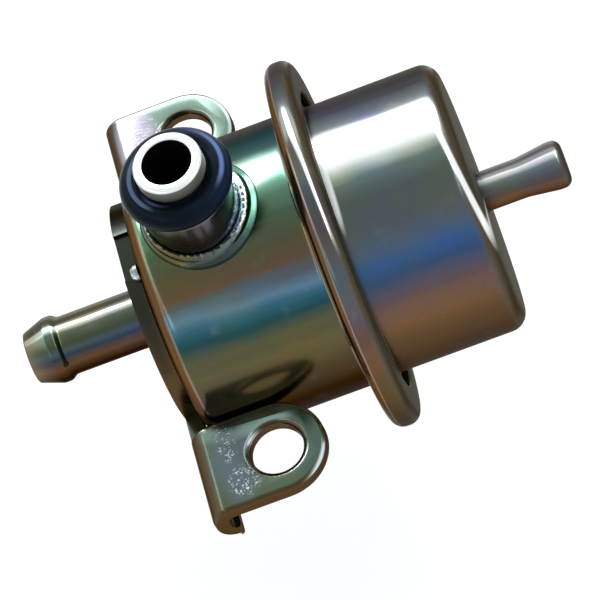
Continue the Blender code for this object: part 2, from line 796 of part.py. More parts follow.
def carry(empty, pieces):
    """Parents pieces to an empty without moving them."""
    bpy.context.view_layer.update()
    for piece in pieces:
        piece.parent = empty
        piece.matrix_parent_inverse = empty.matrix_world.inverted()


def main():
    """Builds the regulator."""
    clear_scene()
    zinc = metal("yellow_passivated_steel", (0.42, 0.42, 0.33), 0.3)
    silver = metal("bright_steel", (0.72, 0.73, 0.72), 0.3)
    braze = metal("braze", (0.6, 0.58, 0.5), 0.45)
    inner_steel = metal("bare_steel", (0.55, 0.55, 0.54), 0.35)
    spring_steel = metal("spring_steel", (0.33, 0.33, 0.35), 0.35)
    rubber = metal("seal_rubber", (0.012, 0.018, 0.035), 0.35, 0.0)
    cloth_rubber = metal("diaphragm_rubber", (0.02, 0.02, 0.02), 0.6, 0.0)

    fuel_can(zinc)
    spring_can(zinc)
    mounting_bracket(zinc)
    tack_welds(braze)
    return_pipe(zinc)
    pipe_braze(braze)
    inlet_stub(silver)
    inlet_bead(silver)
    inlet_seal(rubber)
    vacuum_nipple(zinc)
    valve_seat(inner_steel)
    diaphragm(cloth_rubber)
    main_spring(spring_steel)
    end_seat(inner_steel)

    lift = joint_empty("valve_lift", FUEL_PLATE_X)
    carried = [
        fuel_plate(inner_steel),
        spring_plate(inner_steel),
        valve_holder(inner_steel),
        ball_retainer(inner_steel),
        ball_spring(spring_steel),
    ]
    carry(lift, carried)
    float_empty = joint_empty("ball_float", BALL_X)
    carry(float_empty, [valve_ball(inner_steel), valve_disc(inner_steel)])
    carry(lift, [float_empty])


main()
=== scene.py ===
"""Fine surfaces and finishes of the fuel pressure regulator.

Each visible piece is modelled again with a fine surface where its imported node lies. The
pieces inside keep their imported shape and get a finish. Classes hold sizes in millimetres,
and meshes are in metres. The main axis is X, and the inlet points to +Z.
"""

import logging
import math
from collections.abc import Callable, Sequence
from dataclasses import dataclass, field
from enum import Enum

import bmesh
import bpy
from mathutils import Matrix, Vector, noise


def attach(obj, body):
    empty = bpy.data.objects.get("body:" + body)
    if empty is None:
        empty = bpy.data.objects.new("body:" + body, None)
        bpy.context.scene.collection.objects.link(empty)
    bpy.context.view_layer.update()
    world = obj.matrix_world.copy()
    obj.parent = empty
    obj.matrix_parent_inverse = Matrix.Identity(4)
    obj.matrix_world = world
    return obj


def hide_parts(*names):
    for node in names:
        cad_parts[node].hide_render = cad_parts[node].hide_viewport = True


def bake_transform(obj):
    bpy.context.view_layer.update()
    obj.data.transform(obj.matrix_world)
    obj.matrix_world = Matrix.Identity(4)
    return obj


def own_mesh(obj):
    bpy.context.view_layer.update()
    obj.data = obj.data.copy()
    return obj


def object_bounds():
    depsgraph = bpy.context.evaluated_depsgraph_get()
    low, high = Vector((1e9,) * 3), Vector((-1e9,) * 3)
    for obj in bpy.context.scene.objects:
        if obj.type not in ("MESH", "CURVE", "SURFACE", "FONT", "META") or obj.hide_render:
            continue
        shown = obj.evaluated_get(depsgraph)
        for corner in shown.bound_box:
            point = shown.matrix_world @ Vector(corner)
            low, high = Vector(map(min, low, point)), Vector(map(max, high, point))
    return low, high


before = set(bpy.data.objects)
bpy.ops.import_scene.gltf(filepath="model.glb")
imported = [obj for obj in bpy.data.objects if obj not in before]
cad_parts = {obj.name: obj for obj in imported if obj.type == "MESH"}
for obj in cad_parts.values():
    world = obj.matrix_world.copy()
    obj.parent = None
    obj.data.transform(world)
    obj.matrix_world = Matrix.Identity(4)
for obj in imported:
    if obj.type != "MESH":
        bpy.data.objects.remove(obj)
cad_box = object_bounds()

MM = 0.001
# Corners closer than this, in metres, are one.
SAME_PLACE = 1e-6
# Corners closer than this, in millimetres, touch.
TOUCHING = 0.004
# How close to a sheet's face or edge, in millimetres, a place lies on it.
ON_FACE = 0.05
ON_EDGE = 0.02
# A direction points along an axis if its share there is above this.
FACING = 0.9
RUBBER_SHEEN = (0.55, 0.74, 1.0, 1.0)
FULL_TURN = 2 * math.pi
LOG = logging.getLogger("regulator")

Corner = tuple[float, float, float]
Rgb = tuple[int, int, int]
Stops = tuple[tuple[float, Rgb], ...]
Test = Callable[[Vector, Vector], bool]


class Body(Enum):
    """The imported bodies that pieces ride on."""

    HOUSING = "housing"
    VALVE = "valve"
    BALL = "ball"


class Slot(Enum):
    """The record's material slots."""

    PLATED = "passivated_steel"
    BRIGHT = "bright_steel"
    WELD = "weld_metal"
    SEAL = "seal_rubber"
    DIAPHRAGM = "diaphragm_rubber"
    SPRING = "spring_steel"
    BARE = "bare_steel"


class Pick(Enum):
    """What a selection in edit mode is made of."""

    VERTICES = "VERT"
    EDGES = "EDGE"
    FACES = "FACE"


class Signal:
    """An output socket of a shader node, on which Python's operators add Math nodes."""

    def __init__(self, graph: "Graph", socket: bpy.types.NodeSocket) -> None:
        """Wraps a socket of a graph."""
        self.graph = graph
        self.socket = socket

    def math(self, operation: str, *values: "Signal | float") -> "Signal":
        """Adds a Math node.

        Args:
            operation: Blender's name of the operation.
            values: the node's inputs, in order.

        Returns:
            The node's result.
        """
        made = self.graph.node(
            "ShaderNodeMath", {"operation": operation}, dict(enumerate(values))
        )
        return Signal(self.graph, made.outputs[0])

    def __add__(self, other: "Signal | float") -> "Signal":
        """Returns the sum."""
        return self.math("ADD", self, other)

    def __radd__(self, other: float) -> "Signal":
        """Returns the sum."""
        return self.math("ADD", other, self)

    def __sub__(self, other: "Signal | float") -> "Signal":
        """Returns the difference."""
        return self.math("SUBTRACT", self, other)

    def __rsub__(self, other: float) -> "Signal":
        """Returns the difference."""
        return self.math("SUBTRACT", other, self)

    def __mul__(self, other: "Signal | float") -> "Signal":
        """Returns the product."""
        return self.math("MULTIPLY", self, other)

    def __rmul__(self, other: float) -> "Signal":
        """Returns the product."""
        return self.math("MULTIPLY", other, self)

    def __truediv__(self, other: "Signal | float") -> "Signal":
        """Returns the quotient."""
        return self.math("DIVIDE", self, other)

    def __pow__(self, other: "Signal | float") -> "Signal":
        """Returns the power."""
        return self.math("POWER", self, other)

    def __neg__(self) -> "Signal":
        """Returns the negative."""
        return self.math("MULTIPLY", self, -1.0)

    def __abs__(self) -> "Signal":
        """Returns the size without its sign."""
        return self.math("ABSOLUTE", self)

    def sine(self) -> "Signal":
        """Returns the sine of an angle in radians."""
        return self.math("SINE", self)

    def wrapped(self) -> "Signal":
        """Returns what is left above the whole number below."""
        return self.math("FRACT", self)

    def hypot(self, other: "Signal") -> "Signal":
        """Returns how far the point (self, other) lies from 0."""
        return (self * self + other * other) ** 0.5

    def turn_from(self, start: "Signal") -> "Signal":
        """Returns the angle of the point (start, self), from 0 at -180 to 1 at 180 degrees."""
        return self.math("ARCTAN2", self, start) / FULL_TURN + 0.5

    def between(self, low: float, high: float) -> "Signal":
        """Rises smoothly from 0 at low to 1 at high, or falls where low is above high."""
        made = self.graph.node(
            "ShaderNodeMapRange",
            {"interpolation_type": "SMOOTHSTEP"},
            {"Value": self, "From Min": low, "From Max": high, "To Min": 0.0, "To Max": 1.0},
        )
        return Signal(self.graph, made.outputs[0])


def linear(colour: Rgb) -> tuple[float, float, float, float]:
    """Turns a screen colour of 0 to 255 into the shader's linear light."""
    shares = [channel / 255 for channel in colour]
    light = [c / 12.92 if c <= 0.04045 else ((c + 0.055) / 1.055) ** 2.4 for c in shares]
    return (light[0], light[1], light[2], 1.0)


class Graph:
    """The nodes of one material."""

    def __init__(self, name: str) -> None:
        """Starts a material with a Principled shader."""
        self.material = bpy.data.materials.new(name)
        self.material.use_nodes = True
        self.tree = self.material.node_tree
        self.shader = self.tree.nodes["Principled BSDF"]
        places = self.node("ShaderNodeTexCoord").outputs
        self.place = Signal(self, places["Object"])
        self.normal = Signal(self, places["Normal"])

    def node(
        self, kind: str, settings: dict | None = None, values: dict | None = None
    ) -> bpy.types.Node:
        """Adds one node.

        Args:
            kind: the node's type.
            settings: its own settings, with a ramp's colours under "stops".
            values: numbers, colours or signals for its sockets, by name or number.

        Returns:
            The node.
        """
        made = self.tree.nodes.new(kind)
        for name, value in (settings or {}).items():
            if name == "stops":
                self.fill_ramp(made.color_ramp, value)
            else:
                setattr(made, name, value)
        for socket, value in (values or {}).items():
            if isinstance(value, Signal):
                self.tree.links.new(value.socket, made.inputs[socket])
            else:
                made.inputs[socket].default_value = value
        return made

    @staticmethod
    def fill_ramp(ramp: bpy.types.ColorRamp, stops: Stops) -> None:
        """Gives a colour ramp its stops, each a place from 0 to 1 and a screen colour."""
        while len(ramp.elements) < len(stops):
            ramp.elements.new(1.0)
        for element, (place, colour) in zip(ramp.elements, sorted(stops)):
            element.position = place
            element.color = linear(colour)

    def parts(self, vector: Signal) -> list[Signal]:
        """Splits a vector into its three numbers."""
        made = self.node("ShaderNodeSeparateXYZ", {}, {0: vector})
        return [Signal(self, socket) for socket in made.outputs]

    def stretched(self, vector: Signal, scale: Sequence[float]) -> Signal:
        """Scales a vector along its axes."""
        made = self.node("ShaderNodeMapping", {}, {"Vector": vector, "Scale": scale})
        return Signal(self, made.outputs[0])

    def noise(self, scale: float, detail: float = 3.0, at: Signal | None = None) -> Signal:
        """Makes cloudy noise from 0 to 1.

        Args:
            scale: how many features there are in a metre.
            detail: how many finer layers it has.
            at: the place that it reads, the piece's own place if left out.

        Returns:
            The noise.
        """
        made = self.node(
            "ShaderNodeTexNoise", {}, {"Vector": at or self.place, "Scale": scale, "Detail": detail}
        )
        return Signal(self, made.outputs[0])

    def ramp(self, value: Signal, stops: Stops) -> Signal:
        """Turns a number from 0 to 1 into a colour."""
        made = self.node("ShaderNodeValToRGB", {"stops": stops}, {0: value})
        return Signal(self, made.outputs[0])

    def mix(
        self, first: Signal | Rgb, second: Signal | Rgb, share: Signal | float, how: str = "MIX"
    ) -> Signal:
        """Mixes two colours.

        Args:
            first: the colour below.
            second: the colour laid over it.
            share: how much of the second shows.
            how: Blender's name of the way to mix.

        Returns:
            The mixed colour.
        """
        colours = [c if isinstance(c, Signal) else linear(c) for c in (first, second)]
        made = self.node(
            "ShaderNodeMix",
            {"data_type": "RGBA", "blend_type": how, "clamp_result": False},
            {0: share, 6: colours[0], 7: colours[1]},
        )
        return Signal(self, made.outputs[2])

    def bump(self, height: Signal, depth: float, below: Signal | None = None) -> Signal:
        """Turns a height from 0 to 1, of a depth in millimetres, into a normal."""
        values = {"Height": height, "Distance": depth * MM, "Strength": 1.0}
        if below is not None:
            values["Normal"] = below
        return Signal(self, self.node("ShaderNodeBump", {}, values).outputs[0])

    def dress(self, **sockets: Signal | float | tuple) -> bpy.types.Material:
        """Sets the shader's sockets, named with _ for a space, and returns the material."""
        for name, value in sockets.items():
            target = self.shader.inputs[name.replace("_", " ")]
            if isinstance(value, Signal):
                self.tree.links.new(value.socket, target)
            else:
                target.default_value = value
        return self.material


def by_angle(*stops: tuple[float, Rgb]) -> Stops:
    """Turns stops at angles from -180 to 180 degrees into stops from 0 to 1."""
    return tuple(((angle + 180) / 360, colour) for angle, colour in stops)


def by_facing(*stops: tuple[float, Rgb]) -> Stops:
    """Turns stops from -1, facing -X, to 1, facing +X, into stops from 0 to 1."""
    return tuple(((facing + 1) / 2, colour) for facing, colour in stops)


@dataclass(frozen=True)
class Patch:
    """An oval patch on faces that look up, even or broken into flecks.

    It has its middle at x and y, and covers faces whose normal's Z is above up_from.
    """

    x: float
    y: float
    half_x: float
    half_y: float
    colour: Rgb
    share: float
    flecks: bool = False
    up_from: float = 0.75

    def mask(self, graph: Graph) -> Signal:
        """Makes the patch's mask.

        Args:
            graph: the material's graph.

        Returns:
            The patch's share in its middle, and 0 outside it.
        """
        x, y, _ = graph.parts(graph.place)
        _, _, up = graph.parts(graph.normal)
        away_x = (x - self.x * MM) / (self.half_x * MM)
        away_y = (y - self.y * MM) / (self.half_y * MM)
        inside = (away_x * away_x + away_y * away_y).between(1.3, 0.35)
        mask = inside * up.between(self.up_from, self.up_from + 0.2) * self.share
        if self.flecks:
            clumps = graph.noise(1100.0, 1.0).between(0.42, 0.56)
            mask = mask * clumps * graph.noise(3400.0, 3.0).between(0.5, 0.62)
        return mask


@dataclass(frozen=True)
class PlatedFilmAndReflections:
    """Zinc plate under a yellow chromate film, its colour painted by the way each face turns.

    The colours are partly the film's own tints and partly painted reflections, highlights and
    shade. The bands paint the walls round the main axis, which rim_bands do past rim_x, and the
    ends paint the faces across it. wander and streak shift the bands by degrees. A gleam of a width
    above 0 is a painted highlight that runs round a rolled edge. With plain_back only the faces
    towards -X take the ends' colours, and wall is the painted shade of faces towards +X that don't
    look up.
    """

    name: str
    bands: Stops
    ends: Stops
    wander: float = 4.0
    streak: float = 3.0
    roughness: float = 0.11
    edge_tint: tuple[float, float, float, float] = (0.42, 0.4, 0.39, 1.0)
    rim_bands: Stops = ()
    rim_x: float = 0.0
    gleam: float = 0.0
    gleam_from: float = 0.645
    gleam_slope: float = 3.6
    plain_back: bool = False
    wall: Rgb | None = None
    patches: tuple[Patch, ...] = ()

    def build(self) -> bpy.types.Material:
        """Returns the material."""
        graph = Graph(self.name)
        across, side, up = graph.parts(graph.normal)
        turn = up.turn_from(-side)
        cloud = graph.noise(70.0, 2.0) - 0.5
        along = graph.noise(1.0, 3.0, graph.stretched(graph.place, (45.0, 420.0, 420.0))) - 0.5
        drift = cloud * (self.wander / 180) + along * (self.streak / 180)
        # The film's tints with painted reflections, highlights and shade, by the way the face
        # turns.
        film = self.wall_tint_and_reflections(graph, (turn + drift).wrapped())
        turned = -across if self.plain_back else abs(across)
        on_end = (turned + cloud * 0.2).between(0.2, 0.62)
        film = graph.mix(film, self.end_tint_and_reflections(graph, across, up, cloud), on_end)
        # A painted highlight along a rolled edge.
        if self.gleam:
            film = graph.mix(film, (244, 248, 250), self.painted_gleam_mask(across, turn))
        grain = graph.noise(2600.0, 4.0)
        smudge = graph.noise(300.0, 4.0)
        film = self.clouded(graph, film, grain, smudge)
        rough = self.roughness + smudge * 0.12 + grain * 0.06
        rough = rough + across.between(0.7, 0.97) * 0.35 + up.between(0.0, -0.4) * 0.3
        rough = rough + side.between(0.5, 0.8) * 0.3
        height = grain * 0.35 + along * 0.2 + graph.noise(520.0, 2.0)
        # Patches of painted highlight, reflection or shade, and frosted flecks.
        for patch in self.patches:
            mask = patch.mask(graph)
            film = graph.mix(film, patch.colour, mask)
            if patch.flecks:
                rough = rough + mask * 0.2
                height = height + mask * 3.0
        return graph.dress(
            Base_Color=film,
            Metallic=1.0,
            Roughness=rough,
            Specular_Tint=self.edge_tint,
            Normal=graph.bump(height, 0.004),
        )

    def wall_tint_and_reflections(self, graph: Graph, angle: Signal) -> Signal:
        """Paints the walls round the main axis with the film's tints and painted reflections.

        Args:
            graph: the material's graph.
            angle: the wall's angle about the axis, from 0 to 1.

        Returns:
            The colour, with its painted reflections.
        """
        tint = graph.ramp(angle, self.bands)
        if not self.rim_bands:
            return tint
        x, _, _ = graph.parts(graph.place)
        on_rim = x.between((self.rim_x - 0.4) * MM, self.rim_x * MM)
        return graph.mix(tint, graph.ramp(angle, self.rim_bands), on_rim)

    def end_tint_and_reflections(self, graph: Graph, across: Signal, up: Signal, cloud: Signal) -> Signal:
        """Paints the faces across the main axis with the film's tints and painted highlights and
        shade.

        Args:
            graph: the material's graph.
            across: how far the surface faces +X.
            up: how far it faces +Z.
            cloud: noise about 0 that breaks the tint's edges.

        Returns:
            The tint.
        """
        tint = graph.ramp(across * 0.5 + 0.5 + cloud * 0.12, self.ends)
        if not self.wall:
            return tint
        # Painted shade on faces towards +X that don't look up.
        return graph.mix(tint, self.wall, across.between(0.1, 0.3) * up.between(0.45, 0.2))

    @staticmethod
    def clouded(graph: Graph, film: Signal, grain: Signal, smudge: Signal) -> Signal:
        """Clouds the film with faint tints, dark specks and pale smudges.

        Args:
            graph: the material's graph.
            film: the film's colour with its painted reflections.
            grain: fine noise from 0 to 1, for the specks.
            smudge: broad noise from 0 to 1, for the smudges.

        Returns:
            The clouded colour.
        """
        film = graph.mix(film, graph.ramp(graph.noise(110.0, 3.0), FILM_CLOUDS), 0.5, "OVERLAY")
        film = graph.mix(film, (0, 0, 0), grain.between(0.62, 0.8) * 0.3)
        return graph.mix(film, (225, 228, 215), smudge.between(0.62, 0.85) * 0.05)

    def painted_gleam_mask(self, across: Signal, turn: Signal) -> Signal:
        """Makes the mask of the long painted highlight that runs round a rolled edge.

        Args:
            across: how far the surface faces +X.
            turn: its angle about the main axis, from 0 to 1.

        Returns:
            The mask.
        """
        middle = (0.778 - turn) * self.gleam_slope
        line = abs(across - middle).between(self.gleam, self.gleam * 0.4)
        upper = turn.between(0.795, 0.78) * turn.between(self.gleam_from, self.gleam_from + 0.05)
        return line * upper * across.between(-0.06, -0.01)


@dataclass(frozen=True)
class TurnedSteel:
    """Bright turned steel of the inlet stub, with painted reflections round its collar, painted
    shade in its bore and painted shade on the end ring's side.
    """

    name: str
    centre_x: float
    bore_r: float
    collar_z: float

    def build(self) -> bpy.types.Material:
        """Returns the material."""
        graph = Graph(self.name)
        x, y, z = graph.parts(graph.place)
        across, side, up = graph.parts(graph.normal)
        away = (x - self.centre_x * MM).hypot(y)
        wander = (graph.noise(120.0) - 0.5) * 0.08
        # Painted reflections round the collar, by the way each face turns about the inlet's axis.
        around = graph.ramp(side.turn_from(across) + wander, COLLAR_REFLECTION_BANDS)
        bright = graph.mix((216, 226, 222), (250, 250, 250), graph.noise(400.0))
        above = z / MM - self.collar_z
        collar = above.between(0.4, -0.4)
        steel = graph.mix(bright, around, collar * up.between(0.95, 0.5))
        # Painted shade in the bore.
        inside = away.between((self.bore_r + 0.12) * MM, (self.bore_r + 0.02) * MM)
        steel = graph.mix(steel, (30, 34, 28), inside)
        # Painted shade on the end ring's steep side towards -Y.
        shaded_ring_side = above.between(0.8, 1.6) * up.between(0.5, 0.1) * (1.0 - inside)
        steel = graph.mix(steel, (96, 98, 86), shaded_ring_side * side.between(0.3, -0.7) * 0.85)
        cuts = ((away + z) * 42000.0).sine()
        grain = graph.noise(3000.0, 3.0)
        return graph.dress(
            Base_Color=graph.mix(steel, (60, 56, 50), grain.between(0.6, 0.8) * 0.25),
            Metallic=1.0,
            Roughness=0.14 + grain * 0.1 + inside * 0.35 + shaded_ring_side * 0.4,
            Specular_Tint=(0.5, 0.5, 0.5, 1.0),
            Normal=graph.bump(cuts * 0.3 + grain * 0.4, 0.002),
        )


@dataclass(frozen=True)
class WeldMetal:
    """Rippled weld or braze, with a painted highlight on its crests and painted shade between them.
    """

    name: str
    bright: Rgb
    shade: Rgb

    def build(self) -> bpy.types.Material:
        """Returns the material."""
        graph = Graph(self.name)
        lumps = graph.noise(900.0, 4.0)
        pits = graph.noise(2800.0, 3.0)
        # Painted highlight on the crests and painted shade between them; the crests are the bump's
        # high places.
        metal = graph.mix(self.shade, self.bright, lumps.between(0.35, 0.68))
        metal = graph.mix(metal, (34, 34, 32), pits.between(0.6, 0.75) * 0.7)
        return graph.dress(
            Base_Color=metal,
            Metallic=1.0,
            Roughness=0.2 + lumps * 0.2,
            Normal=graph.bump(lumps + pits * 0.4, 0.05),
        )


@dataclass(frozen=True)
class BeadMetal:
    """Weld round the inlet: a rippled crest with painted highlights over a smooth skirt with
    painted reflections, with a heat-tinted spot and painted shade towards the collar.
    """

    name: str
    centre_x: float
    crest_r: float
    skirt_r: float
    skirt_lean: float
    hot_x: float = -3.4
    hot_y: float = -5.4
    hot_half_x: float = 3.2
    hot_half_y: float = 1.7

    def build(self) -> bpy.types.Material:
        """Returns the material."""
        graph = Graph(self.name)
        x, y, _ = graph.parts(graph.place)
        away_x = x - self.centre_x * MM
        away = away_x.hypot(y)
        turn = y.turn_from(away_x)
        lumps = graph.noise(1100.0, 4.0)
        # Painted reflections on the skirt and painted highlights on the crest, by angle round the
        # inlet.
        skirt = graph.ramp(turn + (lumps - 0.5) * 0.04, SKIRT_REFLECTION_BANDS)
        crest = graph.ramp(turn + (lumps - 0.5) * 0.05, CREST_HIGHLIGHT_BANDS)
        metal = graph.mix(crest, skirt, away.between(self.crest_r * MM, (self.crest_r + 0.3) * MM))
        hot_x = (x - self.hot_x * MM) / (self.hot_half_x * MM)
        hot_y = (y - self.hot_y * MM) / (self.hot_half_y * MM)
        near = (hot_x * hot_x + hot_y * hot_y).between(1.4, 0.1)
        metal = graph.mix(metal, (92, 86, 44), near * lumps.between(0.3, 0.6) * 0.7)
        # Painted shade, mottled, in the groove between the crest and the collar.
        dark = lumps.between(0.5, 0.36) * away.between((self.crest_r + 0.5) * MM, self.crest_r * MM)
        metal = graph.mix(metal, (36, 44, 42), dark * 0.35)
        rim = (away_x - self.skirt_lean * MM).hypot(y)
        rim = rim.between((self.skirt_r - 0.3) * MM, (self.skirt_r - 0.1) * MM)
        metal = graph.mix(metal, (30, 36, 32), rim * 0.75)
        return graph.dress(
            Base_Color=metal,
            Metallic=1.0,
            Roughness=0.14 + lumps * 0.1,
            Specular_Tint=(0.5, 0.5, 0.5, 1.0),
            Normal=graph.bump(lumps * away.between(8.5 * MM, 6.6 * MM), 0.035),
        )


@dataclass(frozen=True)
class SealSkin:
    """Smooth blue-black rubber of the seal, with long highlights painted along its curve and
    painted light on its side towards +X.
    """

    name: str
    centre_x: float
    colour: Rgb = (4, 8, 15)
    # The colour of the painted highlights.
    gleam: Rgb = (86, 108, 156)

    def build(self) -> bpy.types.Material:
        """Returns the material."""
        graph = Graph(self.name)
        x, _, _ = graph.parts(graph.place)
        across, side, up = graph.parts(graph.normal)
        cloud = graph.noise(300.0, 4.0)
        dust = graph.noise(2600.0, 3.0)
        left = x.between((self.centre_x - 3.2) * MM, (self.centre_x - 4.8) * MM)
        turn = side.turn_from(across)
        # Painted highlights along the ring's curve: a broad one away from the -X side and a narrow
        # one on it.
        broad_highlight = up.between(0.74, 0.87) * up.between(0.98, 0.92) * (1.0 - left)
        broad_highlight = broad_highlight * turn.between(0.37, 0.45) * turn.between(0.72, 0.55)
        narrow_highlight = up.between(0.981, 0.995) * left
        skin = graph.mix(self.colour, (12, 28, 46), cloud.between(0.4, 0.8) * 0.5)
        # Painted light on the side towards +X.
        skin = graph.mix(skin, (16, 34, 58), across.between(0.1, 0.9) * 0.6)
        skin = graph.mix(skin, self.gleam, broad_highlight * 0.9)
        skin = graph.mix(skin, (80, 104, 132), narrow_highlight * 0.65)
        skin = graph.mix(skin, (96, 104, 110), dust.between(0.7, 0.82) * 0.15)
        return graph.dress(
            Base_Color=skin,
            Metallic=0.0,
            Roughness=0.26 + cloud * 0.12,
            Specular_IOR_Level=0.1,
            Specular_Tint=RUBBER_SHEEN,
            Normal=graph.bump(dust * 0.5 + cloud, 0.006),
        )


@dataclass(frozen=True)
class Rubber:
    """Moulded rubber, blue-black with a soft sheen and a little dust."""

    name: str
    colour: Rgb
    roughness: float = 0.34
    weave: float = 0.0

    def build(self) -> bpy.types.Material:
        """Returns the material."""
        graph = Graph(self.name)
        cloud = graph.noise(260.0, 4.0)
        dust = graph.noise(2400.0, 3.0)
        skin = graph.mix(self.colour, (34, 52, 74), cloud.between(0.45, 0.8) * 0.5)
        skin = graph.mix(skin, (104, 110, 112), dust.between(0.68, 0.8) * 0.25)
        height = dust * 0.5 + cloud
        if self.weave:
            _, side, up = graph.parts(graph.place)
            threads = (side * self.weave).sine() * (up * self.weave).sine()
            height = height + threads * 1.5
        return graph.dress(
            Base_Color=skin,
            Metallic=0.0,
            Roughness=self.roughness + cloud * 0.14,
            Specular_Tint=RUBBER_SHEEN,
            Normal=graph.bump(height, 0.012),
        )


@dataclass(frozen=True)
class BareMetal:
    """Plain steel of the pieces inside, with turning marks round the main axis."""

    name: str
    colour: Rgb
    mark_pitch: float = 0.12

    def build(self) -> bpy.types.Material:
        """Returns the material."""
        graph = Graph(self.name)
        _, side, up = graph.parts(graph.place)
        marks = (side.hypot(up) * (FULL_TURN / (self.mark_pitch * MM))).sine()
        cloud = graph.noise(240.0, 4.0)
        stain = graph.mix(self.colour, (120, 104, 84), cloud.between(0.5, 0.8) * 0.4)
        return graph.dress(
            Base_Color=stain,
            Metallic=1.0,
            Roughness=0.28 + cloud * 0.16,
            Normal=graph.bump(marks * 0.4 + cloud, 0.006),
        )


@dataclass(frozen=True)
class PaleFloor:
    """Matt pale board that the part stands over."""

    name: str = "pale_floor"

    def build(self) -> bpy.types.Material:
        """Returns the material."""
        graph = Graph(self.name)
        tone = graph.mix((222, 222, 222), (226, 226, 227), graph.noise(8.0))
        return graph.dress(Base_Color=tone, Roughness=0.85, Specular_IOR_Level=0.1)


class Bench:
    """Blender's modelling operators, each used on one object alone."""

    @staticmethod
    def alone(obj: bpy.types.Object | None = None) -> None:
        """Leaves only this object selected, or nothing."""
        bpy.ops.object.select_all(action="DESELECT")
        if obj is not None:
            obj.select_set(True)
            bpy.context.view_layer.objects.active = obj

    @staticmethod
    def settle(name: str) -> bpy.types.Object:
        """Names the primitive just added, puts its place into its mesh and returns it."""
        obj = bpy.context.object
        obj.name = name
        obj.data.name = name
        bpy.ops.object.transform_apply(location=True, rotation=True, scale=True)
        return obj

    @staticmethod
    def edit(obj: bpy.types.Object) -> None:
        """Opens an object in edit mode with nothing selected."""
        Bench.alone(obj)
        bpy.ops.object.mode_set(mode="EDIT")
        bpy.ops.mesh.select_mode(type="VERT")
        bpy.ops.mesh.select_all(action="DESELECT")

    @staticmethod
    def close() -> None:
        """Leaves edit mode."""
        bpy.ops.object.mode_set(mode="OBJECT")

    @staticmethod
    def pick(kind: Pick, test: Test) -> int:
        """Selects what passes a test, in edit mode.

        Args:
            kind: vertices, edges or faces.
            test: takes a middle, and a normal or an edge's direction, both in millimetres.

        Returns:
            How many were selected.
        """
        bpy.ops.mesh.select_mode(type=kind.value)
        bpy.ops.mesh.select_all(action="DESELECT")
        mesh = bpy.context.object.data
        shape = bmesh.from_edit_mesh(mesh)
        count = 0
        if kind is Pick.VERTICES:
            rows = [(vert, vert.co, vert.normal) for vert in shape.verts]
        elif kind is Pick.EDGES:
            rows = [
                (edge, (edge.verts[0].co + edge.verts[1].co) / 2,
                 (edge.verts[1].co - edge.verts[0].co).normalized())
                for edge in shape.edges
            ]
        else:
            rows = [(face, face.calc_center_median(), face.normal) for face in shape.faces]
        for item, middle, direction in rows:
            if test(middle / MM, direction):
                item.select_set(True)
                count += 1
        bmesh.update_edit_mesh(mesh)
        return count

    @staticmethod
    def apply(obj: bpy.types.Object) -> None:
        """Applies all of an object's modifiers."""
        Bench.alone(obj)
        for modifier in list(obj.modifiers):
            bpy.ops.object.modifier_apply(modifier=modifier.name)

    @staticmethod
    def combine(obj: bpy.types.Object, tool: bpy.types.Object, how: str = "DIFFERENCE") -> None:
        """Cuts a tool out of an object, or joins it on, and removes the tool."""
        modifier = obj.modifiers.new("combine", "BOOLEAN")
        modifier.operation = how
        modifier.solver = "EXACT"
        modifier.object = tool
        Bench.apply(obj)
        bpy.data.objects.remove(tool, do_unlink=True)

    @staticmethod
    def smooth(obj: bpy.types.Object, angle: float = 32.0) -> None:
        """Shades an object smooth across edges shallower than an angle in degrees."""
        Bench.alone(obj)
        bpy.ops.object.shade_smooth_by_angle(angle=math.radians(angle))

    @staticmethod
    def pin(centre: Vector, radius: float, length: float, along_x: bool) -> bpy.types.Object:
        """Adds a cylinder as a cutting tool, sizes in millimetres."""
        Bench.alone()
        bpy.ops.mesh.primitive_cylinder_add(
            vertices=96,
            radius=radius * MM,
            depth=length * MM,
            location=centre * MM,
            rotation=(0, math.pi / 2 if along_x else 0, 0),
        )
        return Bench.settle("tool")


